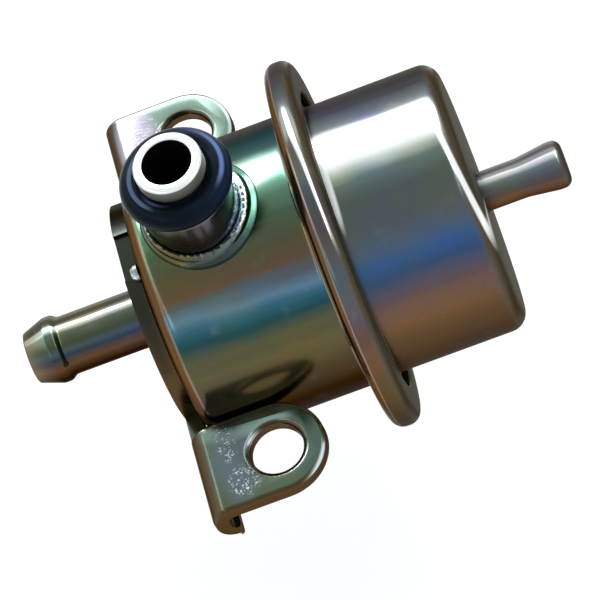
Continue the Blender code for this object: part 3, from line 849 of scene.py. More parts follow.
@dataclass(frozen=True)
class Lathe:
    """Turns outlines about an axis through a centre, as on a lathe."""

    axis: Vector
    centre: Vector = field(default_factory=Vector)
    steps: int = 144
    arc_steps: int = 7

    def at(self, along: float, out: float) -> Vector:
        """Returns the place, in metres, of a point given along the axis and out from it."""
        outward = Vector((0, 0, 1)) if self.axis.x else Vector((1, 0, 0))
        return (self.centre + self.axis * along + outward * out) * MM

    def draw(self, name: str, corners: Sequence[Corner], closed: bool) -> bpy.types.Object:
        """Draws an outline by extruding a vertex, and rounds its corners.

        Args:
            name: the object's name.
            corners: along the axis, out from it, and the radius that rounds the corner.
            closed: whether the last corner joins the first.

        Returns:
            The object, in edit mode.
        """
        places = [self.at(along, out) for along, out, _ in corners]
        Bench.alone()
        bpy.ops.mesh.primitive_plane_add(size=MM, location=places[0])
        obj = Bench.settle(name)
        Bench.edit(obj)
        bpy.ops.mesh.select_all(action="SELECT")
        bpy.ops.mesh.merge(type="CENTER")
        for here, there in zip(places, places[1:]):
            bpy.ops.mesh.extrude_region_move(TRANSFORM_OT_translate={"value": there - here})
        if closed:
            self.pick_places([places[0], places[-1]])
            bpy.ops.mesh.edge_face_add()
        for i, (_, _, radius) in enumerate(corners):
            if radius:
                self.round_corner(places, i, radius)
        return obj

    def pick_places(self, places: Sequence[Vector]) -> None:
        """Selects the vertices at some places in metres."""
        Bench.pick(
            Pick.VERTICES,
            lambda middle, _: any(
                (middle * MM - place).length < SAME_PLACE for place in places
            ),
        )

    def round_corner(self, places: Sequence[Vector], i: int, radius: float) -> None:
        """Bevels one corner of the outline to a radius in millimetres."""
        here = places[i]
        before = (places[i - 1] - here).normalized()
        after = (places[(i + 1) % len(places)] - here).normalized()
        half = before.angle(after) / 2
        self.pick_places([here])
        bpy.ops.mesh.bevel(
            offset=radius * MM / math.tan(half),
            offset_type="OFFSET",
            affect="VERTICES",
            segments=self.arc_steps,
            profile=0.5,
        )

    def turn(
        self, name: str, corners: Sequence[Corner], closed: bool = True, smooth: float = 32.0
    ) -> bpy.types.Object:
        """Draws an outline and spins it into a solid.

        Args:
            name: the object's name.
            corners: the outline's corners.
            closed: whether the outline is closed, or ends on the axis.
            smooth: the angle below which edges are shaded smooth.

        Returns:
            The object.
        """
        obj = self.draw(name, corners, closed)
        self.spin()
        Bench.close()
        Bench.smooth(obj, smooth)
        return obj

    def spin(self) -> None:
        """Spins all that the open mesh holds once round the axis."""
        bpy.ops.mesh.select_all(action="SELECT")
        bpy.ops.mesh.spin(
            steps=self.steps, angle=FULL_TURN, center=self.centre * MM, axis=self.axis
        )
        bpy.ops.mesh.select_all(action="SELECT")
        bpy.ops.mesh.remove_doubles(threshold=SAME_PLACE)
        bpy.ops.mesh.normals_make_consistent(inside=False)


def hand_over(
    obj: bpy.types.Object,
    material: bpy.types.Material,
    nodes: Sequence[str],
    body: Body = Body.HOUSING,
) -> bpy.types.Object:
    """Dresses a finished piece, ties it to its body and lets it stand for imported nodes.

    Args:
        obj: the piece.
        material: its finish.
        nodes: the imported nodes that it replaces.
        body: the body that it rides on.

    Returns:
        The piece.
    """
    obj.data.materials.clear()
    obj.data.materials.append(material)
    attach(obj, body.value)
    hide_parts(*nodes)
    LOG.info("%s: %d faces, for %s", obj.name, len(obj.data.polygons), ", ".join(nodes))
    return obj


@dataclass(frozen=True)
class Layout:
    """Sizes and places along the main axis that several pieces share."""

    gap: float = 0.2
    plate_x: float = -10.7
    sheet: float = 2.0
    can_r: float = 18.5
    can_wall: float = 0.9
    can_depth: float = 22.5
    can_corner: float = 2.5
    rim_r: float = 25.0
    diaphragm: float = 0.5
    spring_wall: float = 0.8
    spring_depth: float = 19.2
    port_from_end: float = 9.3

    @property
    def can_end(self) -> float:
        """Where the fuel can's end lies."""
        return self.plate_x + self.sheet + self.gap

    @property
    def port_x(self) -> float:
        """Where the inlet's axis lies."""
        return self.can_end + self.port_from_end

    @property
    def flange(self) -> float:
        """Where the fuel can's flange starts."""
        return self.can_end + self.can_depth

    @property
    def spring_flange(self) -> float:
        """Where the spring can's flange starts."""
        return self.flange + self.can_wall + self.diaphragm + 2 * self.gap

    @property
    def lip(self) -> float:
        """Where the rolled lip's inner face lies."""
        return self.spring_flange + self.spring_wall + self.gap

    @property
    def spring_end(self) -> float:
        """Where the spring can's end lies."""
        return self.spring_flange + self.spring_depth

    def can_radius(self, x: float) -> float:
        """Returns the fuel can's outer radius at a place along the axis."""
        into = max(0.0, self.can_end + self.can_corner - x)
        into = min(into, self.can_corner)
        return self.can_r - self.can_corner + math.sqrt(self.can_corner**2 - into**2)


MAIN_AXIS = Vector((1, 0, 0))
PORT_AXIS = Vector((0, 0, 1))


@dataclass
class Housing:
    """The two drawn cans, the first with its rim rolled over the second's flange."""

    layout: Layout
    fillet: float = 1.2
    rim_round: float = 1.6
    lip_inner_r: float = 20.2
    edge: float = 0.3
    pipe_hole_r: float = 4.15
    inlet_hole_r: float = 5.1
    spring_can_r: float = 18.2
    spring_corner: float = 2.4
    spring_fillet: float = 1.0
    nipple_hole_r: float = 2.85
    rim_clear: float = 0.3

    def fuel_can(self, material: bpy.types.Material) -> bpy.types.Object:
        """Turns the can whose rim is rolled, and pierces it for the inlet."""
        at = self.layout
        wall = at.can_wall
        corners = [
            (at.can_end, self.pipe_hole_r, 0),
            (at.can_end, at.can_r, at.can_corner),
            (at.flange, at.can_r, self.fillet),
            (at.flange, at.rim_r, self.rim_round),
            (at.lip + wall, at.rim_r, self.rim_round),
            (at.lip + wall, self.lip_inner_r, self.edge),
            (at.lip, self.lip_inner_r, self.edge),
            (at.lip, at.rim_r - wall, self.rim_round - wall),
            (at.flange + wall, at.rim_r - wall, self.rim_round - wall),
            (at.flange + wall, at.can_r - wall, self.fillet + wall),
            (at.can_end + wall, at.can_r - wall, at.can_corner - wall),
            (at.can_end + wall, self.pipe_hole_r, 0),
        ]
        can = Lathe(MAIN_AXIS, steps=192).turn("fuel_can", corners)
        middle = Vector((at.port_x, 0, at.can_r))
        Bench.combine(can, Bench.pin(middle, self.inlet_hole_r, at.can_r, False))
        Bench.smooth(can)
        return hand_over(can, material, ["fuel_housing"])

    def spring_can(self, material: bpy.types.Material) -> bpy.types.Object:
        """Turns the can that holds the spring."""
        at = self.layout
        wall = at.spring_wall
        inner_r = self.spring_can_r - wall
        clamp_r = at.rim_r - at.can_wall - self.rim_clear
        corners = [
            (at.spring_end, self.nipple_hole_r, 0),
            (at.spring_end, self.spring_can_r, self.spring_corner),
            (at.spring_flange + wall, self.spring_can_r, self.spring_fillet),
            (at.spring_flange + wall, clamp_r, 0),
            (at.spring_flange, clamp_r, 0),
            (at.spring_flange, inner_r, self.spring_fillet + wall),
            (at.spring_end - wall, inner_r, self.spring_corner - wall),
            (at.spring_end - wall, self.nipple_hole_r, 0),
        ]
        can = Lathe(MAIN_AXIS, steps=192).turn("spring_can", corners)
        return hand_over(can, material, ["spring_housing"])


@dataclass
class Bracket:
    """The mounting bracket: a disc with two wings, each folded forward into an ear."""

    layout: Layout
    ear_spread: float = 25.2
    ear_r: float = 6.5
    hole_r: float = 3.5
    bend_inner_r: float = 1.0
    disc_r: float = 15.0
    disc_sides: int = 180
    wing_drop: float = 6.8
    web_drop: float = 6.0
    web_inner_y: float = 10.0
    relief: float = 0.5
    hook_inner_r: float = 0.6
    hook_straight: float = 0.5
    hook_from_side: float = 0.6
    hook_slot: float = 0.8
    hook_corner: float = 0.48
    flat_width: float = 7.0
    flat_depth: float = 0.5
    pipe_hole_r: float = 4.15
    edge: float = 0.32
    ear_edge: float = 0.65
    hole_edge: float = 0.95
    bend_steps: int = 14
    lobe_steps: int = 40
    lobe_share: float = 0.9999
    corner_steps: int = 6

    @property
    def outer_bend(self) -> float:
        """The bend's outer radius."""
        return self.bend_inner_r + self.layout.sheet

    @property
    def outer_hook(self) -> float:
        """The outer radius of the hook that stiffens the wing's lower edge."""
        return self.hook_inner_r + self.layout.sheet

    @property
    def inner_side(self) -> float:
        """Where the ear's side towards the can lies."""
        return self.ear_spread - self.ear_r

    def wing(self) -> bpy.types.Object:
        """Makes one wing: a block whose ear and hook are spun round their bends."""
        at = self.layout
        low = self.outer_hook - self.wing_drop
        high = -self.outer_bend
        wing = self.block(
            "ear_bracket", Vector((at.plate_x, self.inner_side, low)),
            Vector((at.plate_x + at.sheet, self.ear_spread + self.ear_r, high)),
        )
        Bench.edit(wing)
        Bench.pick(Pick.FACES, lambda _, normal: normal.z > FACING)
        self.fold(self.outer_bend, high, -1)
        Bench.pick(Pick.FACES, lambda middle, normal: normal.x > FACING and middle.z > -at.sheet)
        reach = (self.ear_r - at.plate_x - self.outer_bend) * MM
        bpy.ops.mesh.extrude_region_move(TRANSFORM_OT_translate={"value": (reach, 0, 0)})
        Bench.pick(
            Pick.EDGES,
            lambda middle, along: abs(along.z) > FACING and middle.x > self.ear_r - ON_FACE,
        )
        # A share just under 1 keeps the two rounded corners from meeting in one point.
        lobe = self.ear_r * MM * self.lobe_share
        bpy.ops.mesh.bevel(offset=lobe, segments=self.lobe_steps // 2, affect="EDGES")
        self.hook(low)
        bpy.ops.mesh.select_all(action="SELECT")
        bpy.ops.mesh.remove_doubles(threshold=TOUCHING * MM)
        bpy.ops.mesh.normals_make_consistent(inside=False)
        Bench.close()
        web = self.block(
            "web", Vector((at.plate_x, self.web_inner_y, -self.web_drop)),
            Vector((at.plate_x + at.sheet, self.inner_side + self.hook_from_side,
                    high - self.relief)),
        )
        Bench.combine(wing, web, "UNION")
        return wing

    @staticmethod
    def block(name: str, low: Vector, high: Vector) -> bpy.types.Object:
        """Adds a box between two corners in millimetres."""
        Bench.alone()
        bpy.ops.mesh.primitive_cube_add(
            size=MM, location=(low + high) / 2 * MM, scale=high - low
        )
        return Bench.settle(name)

    def fold(self, outer_r: float, up: float, way: int) -> None:
        """Spins the picked end face a quarter turn forward, round a bend's axis.

        Args:
            outer_r: the bend's outer radius.
            up: the height of its axis.
            way: -1 folds a top face, and 1 a bottom face.
        """
        bpy.ops.mesh.spin(
            steps=self.bend_steps,
            angle=way * math.pi / 2,
            center=Vector((self.layout.plate_x + outer_r, 0, up)) * MM,
            axis=(0, 1, 0),
        )

    def hook(self, low: float) -> None:
        """Folds the wing's lower edge forward, clear of the web by a slot."""
        end_y = self.inner_side + self.hook_from_side + self.hook_slot
        bpy.ops.mesh.select_all(action="SELECT")
        bpy.ops.mesh.bisect(plane_co=(0, end_y * MM, 0), plane_no=(0, 1, 0))
        Bench.pick(
            Pick.FACES,
            lambda middle, normal: normal.z < -FACING
            and abs(middle.z - low) < ON_EDGE
            and middle.y > end_y,
        )
        self.fold(self.outer_hook, low, 1)
        Bench.pick(
            Pick.FACES,
            lambda middle, normal: normal.x > FACING
            and middle.z < -self.wing_drop + self.layout.sheet
            and abs(middle.x - self.layout.plate_x - self.outer_hook) < ON_FACE,
        )
        run = (self.hook_straight * MM, 0, 0)
        bpy.ops.mesh.extrude_region_move(TRANSFORM_OT_translate={"value": run})
        tip = self.layout.plate_x + self.outer_hook + self.hook_straight
        Bench.pick(
            Pick.EDGES,
            lambda middle, along: abs(along.z) > FACING
            and abs(middle.x - tip) < ON_FACE
            and middle.z < low
            and middle.y > self.ear_spread,
        )
        bpy.ops.mesh.bevel(
            offset=self.hook_corner * MM, segments=self.corner_steps, affect="EDGES"
        )

    def build(self, material: bpy.types.Material) -> bpy.types.Object:
        """Mirrors the wing, joins the disc, pierces the holes and rounds the edges."""
        at = self.layout
        bracket = self.wing()
        mirror = bracket.modifiers.new("other_side", "MIRROR")
        mirror.use_axis = (False, True, False)
        mirror.use_mirror_merge = False
        Bench.apply(bracket)
        middle = Vector((at.plate_x + at.sheet / 2, 0, 0))
        Bench.alone()
        bpy.ops.mesh.primitive_cylinder_add(
            vertices=self.disc_sides,
            radius=self.disc_r * MM,
            depth=at.sheet * MM,
            location=middle * MM,
            rotation=(0, math.pi / 2, 0),
        )
        Bench.combine(bracket, Bench.settle("disc"), "UNION")
        Bench.combine(bracket, Bench.pin(middle, self.pipe_hole_r, 3 * at.sheet, True))
        for side in (-1, 1):
            hole = Vector((0, side * self.ear_spread, -at.sheet / 2))
            Bench.combine(bracket, Bench.pin(hole, self.hole_r, 3 * at.sheet, False))
        Bench.combine(bracket, self.flat_cutter(middle))
        self.round_ears(bracket)
        self.round_edges(bracket)
        return hand_over(bracket, material, ["mounting_bracket"])

    def flat_cutter(self, middle: Vector) -> bpy.types.Object:
        """Adds the block that cuts the locating flat into the disc's top."""
        half = self.flat_width / 2
        low = math.sqrt(self.disc_r**2 - half**2) - self.flat_depth
        Bench.alone()
        bpy.ops.mesh.primitive_cube_add(
            size=MM,
            location=(middle + Vector((0, 0, low + half))) * MM,
            scale=(3 * self.layout.sheet, self.flat_width, self.flat_width),
        )
        return Bench.settle("tool")

    def on_skin(self, place: Vector) -> bool:
        """Tells whether a place on a side of the wing lies on the sheet's outer face."""
        bend_x = self.layout.plate_x + self.outer_bend
        if place.x >= bend_x and place.z > -self.layout.sheet / 2:
            return place.z > -ON_FACE
        if place.z > -self.outer_bend:
            away = math.hypot(place.x - bend_x, place.z + self.outer_bend)
            return abs(away - self.outer_bend) < ON_FACE
        hook_z = self.outer_hook - self.wing_drop
        if place.z > hook_z:
            return place.x < self.layout.plate_x + ON_EDGE
        hook_x = self.layout.plate_x + self.outer_hook
        away = math.hypot(place.x - hook_x, place.z - hook_z)
        return place.x < hook_x and abs(away - self.outer_hook) < ON_FACE

    def round_ears(self, bracket: bpy.types.Object) -> None:
        """Rounds the upper edges of the ears and their holes, where the punch drew them in."""

        def on_hole(middle: Vector, _: Vector) -> bool:
            """Tells whether an edge lies on the upper rim of an ear's hole."""
            away = math.hypot(middle.x, abs(middle.y) - self.ear_spread)
            return middle.z > -ON_FACE and abs(away - self.hole_r) < ON_EDGE

        def on_outline(middle: Vector, along: Vector) -> bool:
            """Tells whether an edge lies on the outline of an ear's outer face."""
            out = abs(middle.y) - self.ear_spread
            on_side = abs(abs(out) - self.ear_r) < ON_EDGE and middle.x < ON_FACE
            if on_side and abs(along.y) < 1 - FACING:
                return self.on_skin(middle) and (out > 0 or middle.z > -self.outer_bend)
            on_lobe = abs(math.hypot(middle.x, out) - self.ear_r) < ON_FACE
            return middle.z > -ON_FACE and on_lobe and middle.x > -ON_FACE

        Bench.edit(bracket)
        for test, width in ((on_hole, self.hole_edge), (on_outline, self.ear_edge)):
            LOG.info("ear edges: %d", Bench.pick(Pick.EDGES, test))
            bpy.ops.mesh.bevel(
                offset=width * MM,
                offset_type="OFFSET",
                segments=self.corner_steps,
                affect="EDGES",
            )
        Bench.close()

    def round_edges(self, bracket: bpy.types.Object) -> None:
        """Rounds the sheet's edges, as blanking and plating leave them."""
        bevel = bracket.modifiers.new("edges", "BEVEL")
        bevel.width = self.edge * MM
        bevel.segments = 4
        bevel.limit_method = "ANGLE"
        bevel.angle_limit = math.radians(40)
        bevel.harden_normals = True
        Bench.smooth(bracket, 40)
        Bench.apply(bracket)


@dataclass
class ReturnPipe:
    """The return pipe with its hose bead, and the braze that holds it in the disc."""

    layout: Layout
    radius: float = 3.95
    bore_r: float = 2.95
    reach: float = 19.0
    bead_r: float = 4.5
    bead_from_end: float = 3.6
    bead_length: float = 2.6
    bead_round: float = 0.8
    nose_r: float = 3.4
    nose_round: float = 0.3
    bore_edge: float = 0.12
    inner_end: float = 8.2
    braze_clear: float = 0.02
    braze_fillet: float = 0.9
    braze_spread: float = 0.3
    braze_toe: float = 0.14
    braze_rise: float = 0.2
    braze_throat: float = 0.22
    braze_throat_round: float = 0.6
    braze_tip: float = 0.12
    braze_edge: float = 0.1

    def pipe(self, material: bpy.types.Material) -> bpy.types.Object:
        """Turns the pipe."""
        end = self.layout.can_end - self.reach
        bead = end + self.bead_from_end
        corners = [
            (end, self.bore_r, self.bore_edge),
            (end, self.nose_r, self.nose_round),
            (bead - self.bead_length / 5, self.bead_r, self.bead_round),
            (bead + self.bead_length / 5, self.bead_r, self.bead_round),
            (bead + self.bead_length / 2, self.radius, self.bead_round),
            (self.inner_end, self.radius, 0),
            (self.inner_end, self.bore_r, 0),
        ]
        pipe = Lathe(MAIN_AXIS, steps=128).turn("return_tube", corners)
        return hand_over(pipe, material, ["return_pipe"])

    def braze(self, material: bpy.types.Material) -> bpy.types.Object:
        """Turns the braze fillet in front of the disc."""
        foot = self.layout.plate_x - self.braze_clear
        inner = self.radius + self.braze_clear
        toe_r = inner + self.braze_fillet + self.braze_spread
        top = foot - self.braze_fillet - self.braze_rise
        corners = [
            (foot, inner, 0),
            (foot, toe_r, 0),
            (foot - self.braze_toe, toe_r, self.braze_edge),
            (foot - self.braze_rise, inner + self.braze_throat, self.braze_throat_round),
            (top, inner + self.braze_tip, self.braze_edge),
            (top, inner, 0),
        ]
        ring = Lathe(MAIN_AXIS, steps=128).turn("pipe_braze", corners, smooth=60)
        roughen(ring, 0.07, 0.9)
        return hand_over(ring, material, ["return_pipe_braze"])


def roughen(obj: bpy.types.Object, height: float, feature: float) -> None:
    """Makes a surface lumpy along its normals, height and feature size in millimetres."""
    texture = bpy.data.textures.new("lumps", "CLOUDS")
    texture.noise_scale = feature * MM
    texture.noise_depth = 2
    lumps = obj.modifiers.new("lumps", "DISPLACE")
    lumps.texture = texture
    lumps.texture_coords = "LOCAL"
    lumps.strength = height * MM
    lumps.mid_level = 0.5
    Bench.apply(obj)


@dataclass
class Inlet:
    """The inlet stub with its seal, and the weld bead that holds it on the can."""

    layout: Layout
    top: float = 30.75
    bore_r: float = 3.18
    ring_r: float = 4.46
    ring_round: float = 0.4
    ring_edge: float = 0.15
    bore_edge: float = 0.18
    groove_r: float = 3.66
    seal_section_r: float = 1.72
    seal_z: float = 26.6
    mould_line: float = 0.03
    collar_top_r: float = 6.2
    collar_foot_r: float = 6.1
    collar_round: float = 0.5
    spigot_r: float = 4.9
    spigot_end: float = 15.7
    foot_clear: float = 0.1
    foot_reach: float = 1.0
    bead_inner_r: float = 6.15
    bead_clear: float = 0.05
    bead_crest: float = 1.05
    bead_width: float = 0.8
    crest_inner_round: float = 0.3
    crest_outer_round: float = 0.45
    shoulder: Corner = (0.42, 0.12, 0.3)
    skirt_r: float = 7.75
    skirt_height: float = 0.16
    skirt_edge: float = 0.1
    skirt_lean: float = 0.55
    ripples: int = 44
    ripple_from: float = 0.45
    ripple_height: float = 0.06
    lump_height: float = 0.08

    @property
    def lathe(self) -> Lathe:
        """The lathe that turns about the inlet's axis."""
        return Lathe(PORT_AXIS, Vector((self.layout.port_x, 0, 0)), steps=160)

    @property
    def groove_z(self) -> float:
        """A height in the seal's groove, hidden by the seal, below which the stub takes the
        collar's painted reflections.
        """
        return self.seal_z - 1.5

    def over_can(self, obj: bpy.types.Object, below: float) -> None:
        """Lays a ring on the can's curved wall.

        Args:
            obj: a ring turned with heights from 0 as heights above the wall.
            below: heights under this one, in millimetres, are laid on the wall.
        """
        for vert in obj.data.vertices:
            place = vert.co / MM
            if place.z < below:
                around = self.layout.can_radius(place.x) + place.z
                vert.co.z = math.sqrt(max(around**2 - place.y**2, 1.0)) * MM
        obj.data.update()

    def stub(self, material: bpy.types.Material) -> bpy.types.Object:
        """Turns the stub: spigot, collar, seal groove and end ring."""
        half = self.seal_section_r + self.layout.gap
        corners = [
            (self.seal_z - half, self.collar_top_r, self.collar_round),
            (self.seal_z - half, self.groove_r, 0),
            (self.seal_z + half, self.groove_r, 0),
            (self.seal_z + half, self.ring_r, self.ring_edge),
            (self.top, self.ring_r, self.ring_round),
            (self.top, self.bore_r, self.bore_edge),
            (self.spigot_end, self.bore_r, 0),
            (self.spigot_end, self.spigot_r, 0),
            (self.foot_clear, self.spigot_r, 0),
            (self.foot_clear, self.collar_foot_r, 0),
        ]
        stub = self.lathe.turn("inlet_fitting", corners)
        self.over_can(stub, self.foot_reach)
        Bench.smooth(stub)
        return hand_over(stub, material, ["inlet_stub"])

    def bead(self, material: bpy.types.Material) -> bpy.types.Object:
        """Turns the weld bead with its hollow skirt and raises the ripples of its crest."""
        inner = self.bead_inner_r
        crest_r = inner + self.bead_width
        shoulder_z, shoulder_out, shoulder_round = self.shoulder
        corners = [
            (self.bead_clear, inner, 0),
            (self.bead_crest, inner, self.crest_inner_round),
            (self.bead_crest, crest_r, self.crest_outer_round),
            (shoulder_z, crest_r + shoulder_out, shoulder_round),
            (self.skirt_height, self.skirt_r, self.skirt_edge),
            (self.bead_clear, self.skirt_r, 0),
        ]
        turner = Lathe(PORT_AXIS, Vector((self.layout.port_x, 0, 0)), steps=8 * self.ripples)
        bead = turner.turn("inlet_weld", corners, smooth=60)
        for vert in bead.data.vertices:
            place = vert.co / MM
            angle = math.atan2(place.y, place.x - self.layout.port_x)
            crest = max(0.0, place.z - self.ripple_from) / (self.bead_crest - self.ripple_from)
            wave = abs(math.sin(angle * self.ripples / 2 + noise.noise(place * 0.5) * 1.5))
            lump = noise.noise(place * 1.7) * self.lump_height
            vert.co.z += crest * (self.ripple_height * (wave - 0.5) + lump) * MM
            out = math.hypot(place.x - self.layout.port_x, place.y) - inner
            vert.co.x += self.skirt_lean * out / (self.skirt_r - inner) * MM
        self.over_can(bead, self.layout.can_corner)
        Bench.smooth(bead, 60)
        return hand_over(bead, material, ["inlet_weld_bead"])

    def seal(self, material: bpy.types.Material) -> bpy.types.Object:
        """Turns the rubber ring, with the faint line that its mould leaves."""
        core_r = self.groove_r + self.layout.gap + self.seal_section_r
        Bench.alone()
        bpy.ops.mesh.primitive_circle_add(
            vertices=56,
            radius=self.seal_section_r * MM,
            location=Vector((self.layout.port_x + core_r, 0, self.seal_z)) * MM,
            rotation=(math.pi / 2, 0, 0),
        )
        ring = Bench.settle("seal_ring")
        Bench.edit(ring)
        outermost = self.layout.port_x + core_r + self.seal_section_r
        Bench.pick(Pick.VERTICES, lambda middle, _: middle.x > outermost - TOUCHING)
        bpy.ops.transform.translate(value=(self.mould_line * MM, 0, 0))
        self.lathe.spin()
        Bench.close()
        Bench.smooth(ring, 60)
        return hand_over(ring, material, ["inlet_o_ring"])


@dataclass
class Nipple:
    """The vacuum nipple on the spring can's end."""

    layout: Layout
    radius: float = 2.65
    bore_r: float = 1.6
    reach: float = 11.5
    bulge_r: float = 3.2
    bulge_from_end: float = 1.8
    swell: float = 4.3
    swell_round: float = 6.0
    bulge_round: float = 1.6
    tip_round: float = 1.2
    bore_edge: float = 0.15
    collar_r: float = 4.2
    collar: float = 0.6
    collar_edge: float = 0.1

    def build(self, material: bpy.types.Material) -> bpy.types.Object:
        """Turns the nipple."""
        end = self.layout.spring_end + self.reach
        bulge = end - self.bulge_from_end
        collar = self.layout.spring_end - self.layout.spring_wall - self.layout.gap
        corners = [
            (collar - self.collar, self.bore_r, 0),
            (collar - self.collar, self.collar_r, self.collar_edge),
            (collar, self.collar_r, self.collar_edge),
            (collar, self.radius, 0),
            (bulge - self.swell, self.radius, self.swell_round),
            (bulge, self.bulge_r, self.bulge_round),
            (end, self.bulge_r, self.tip_round),
            (end, self.bore_r, self.bore_edge),
        ]
        nipple = Lathe(MAIN_AXIS, steps=112).turn("hose_nipple", corners)
        return hand_over(nipple, material, ["vacuum_nipple"])


@dataclass
class TackWelds:
    """The small welds that tack the bracket's disc to the can's end.

    The dome's corners are shares of its height and radius, with the radius that rounds each.
    """

    layout: Layout
    disc_r: float = 15.0
    from_disc: float = 0.85
    radius: float = 1.05
    height: float = 1.0
    foot: float = 0.05
    dome: tuple[Corner, ...] = ((0.45, 1.0, 0.25), (1.0, 0.62, 0.3), (1.0, 0.4, 0.12))
    dimple: float = 0.78
    angles: tuple[float, ...] = (-13.0, 130.0, 230.0)

    def build(self, material: bpy.types.Material) -> list[bpy.types.Object]:
        """Turns each tack as a low dome with a dimple, and makes it lumpy."""
        made = []
        for number, angle in enumerate(self.angles, 1):
            turn = math.radians(angle)
            away = self.disc_r + self.from_disc
            centre = Vector((self.layout.can_end, away * math.sin(turn), away * math.cos(turn)))
            corners = [
                (0.0, 0.0, 0),
                (-self.foot, self.radius, 0),
                *((-self.height * up, self.radius * out, edge) for up, out, edge in self.dome),
                (-self.height * self.dimple, 0.0, 0),
            ]
            name = f"tack_weld_{number}"
            tack = Lathe(MAIN_AXIS, centre, steps=48).turn(name, corners, False, 60)
            roughen(tack, 0.08, 0.7)
            node = f"bracket_tack_weld_{number}"
            made.append(hand_over(tack, material, [node]))
        return made


@dataclass
class Mechanism:
    """The pieces inside: seat, valve, diaphragm and springs."""

    spring_anchor_x: float = 33.0
    spring_rest_length: float = 15.2
    lift: float = 0.8
    sectors: int = 10
    roll_inner_r: float = 12.7
    roll_outer_r: float = 17.2
    bare_nodes: tuple[str, ...] = (
        "valve_seat", "spring_end_seat", "diaphragm_plate", "spring_plate", "valve_holder",
        "ball_retainer", "valve_ball", "valve_disc",
    )

    def dress(self, node: str, material: bpy.types.Material, slot: Slot) -> None:
        """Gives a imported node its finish."""
        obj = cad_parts[node]
        obj.data.materials.clear()
        obj.data.materials.append(material)
        LOG.info("%s: finished with %s", node, material.name)

    @staticmethod
    def copy(node: str, name: str) -> bpy.types.Object:
        """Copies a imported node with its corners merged, under a name of its own."""
        piece = bpy.data.objects.new(name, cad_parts[node].data.copy())
        bpy.context.scene.collection.objects.link(piece)
        Bench.edit(piece)
        bpy.ops.mesh.select_all(action="SELECT")
        bpy.ops.mesh.remove_doubles(threshold=SAME_PLACE)
        Bench.close()
        return piece

    def membrane(self, material: bpy.types.Material) -> None:
        """Copies the diaphragm in sectors."""
        half = math.pi / self.sectors
        for i in range(self.sectors):
            sector = self.copy("diaphragm", f"diaphragm_sector_{i + 1}")
            Bench.edit(sector)
            for side in (-1, 1):
                turn = 2 * half * i + side * (half + math.pi / 2)
                bpy.ops.mesh.select_all(action="SELECT")
                bpy.ops.mesh.bisect(
                    plane_co=(0, 0, 0),
                    plane_no=(0, math.cos(turn), math.sin(turn)),
                    clear_outer=True,
                    use_fill=True,
                )
            Bench.close()
            Bench.smooth(sector, 40)
            sector.data.materials.clear()
            sector.data.materials.append(material)
            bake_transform(sector)
            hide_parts("diaphragm")
        LOG.info("diaphragm: %d sectors", self.sectors)

    def spring(self, material: bpy.types.Material) -> bpy.types.Object:
        """Copies the main spring with a smooth surface."""
        spring = self.copy("main_spring", "pressure_spring")
        Bench.smooth(spring, 60)
        hand_over(spring, material, ["main_spring"])
        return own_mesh(spring)

    def build(self) -> None:
        """Dresses all that the cans hold."""
        steel = BareMetal("turned_inner_steel", (172, 172, 168)).build()
        for node in self.bare_nodes:
            self.dress(node, steel, Slot.BARE)
        wire = BareMetal("spring_wire", (112, 112, 116), 0.4).build()
        self.dress("ball_spring", wire, Slot.SPRING)
        cloth = Rubber("diaphragm_cloth", (26, 26, 27), 0.55, weave=9000.0).build()
        self.membrane(cloth)
        self.spring(wire)


@dataclass(frozen=True)
class Softbox:
    """A soft area light that faces the part, with its sizes in metres."""

    name: str
    towards: tuple[float, float, float]
    distance: float
    width: float
    height: float
    glow: float

    def add(self) -> None:
        """Adds the light, its face as bright as its glow."""
        way = Vector(self.towards)
        Bench.alone()
        bpy.ops.object.light_add(type="AREA", location=way.normalized() * self.distance)
        light = bpy.context.object
        light.name = self.name
        light.rotation_euler = way.to_track_quat("Z", "Y").to_euler()
        light.data.shape = "RECTANGLE"
        light.data.size = self.width
        light.data.size_y = self.height
        light.data.energy = self.glow * math.pi * self.width * self.height


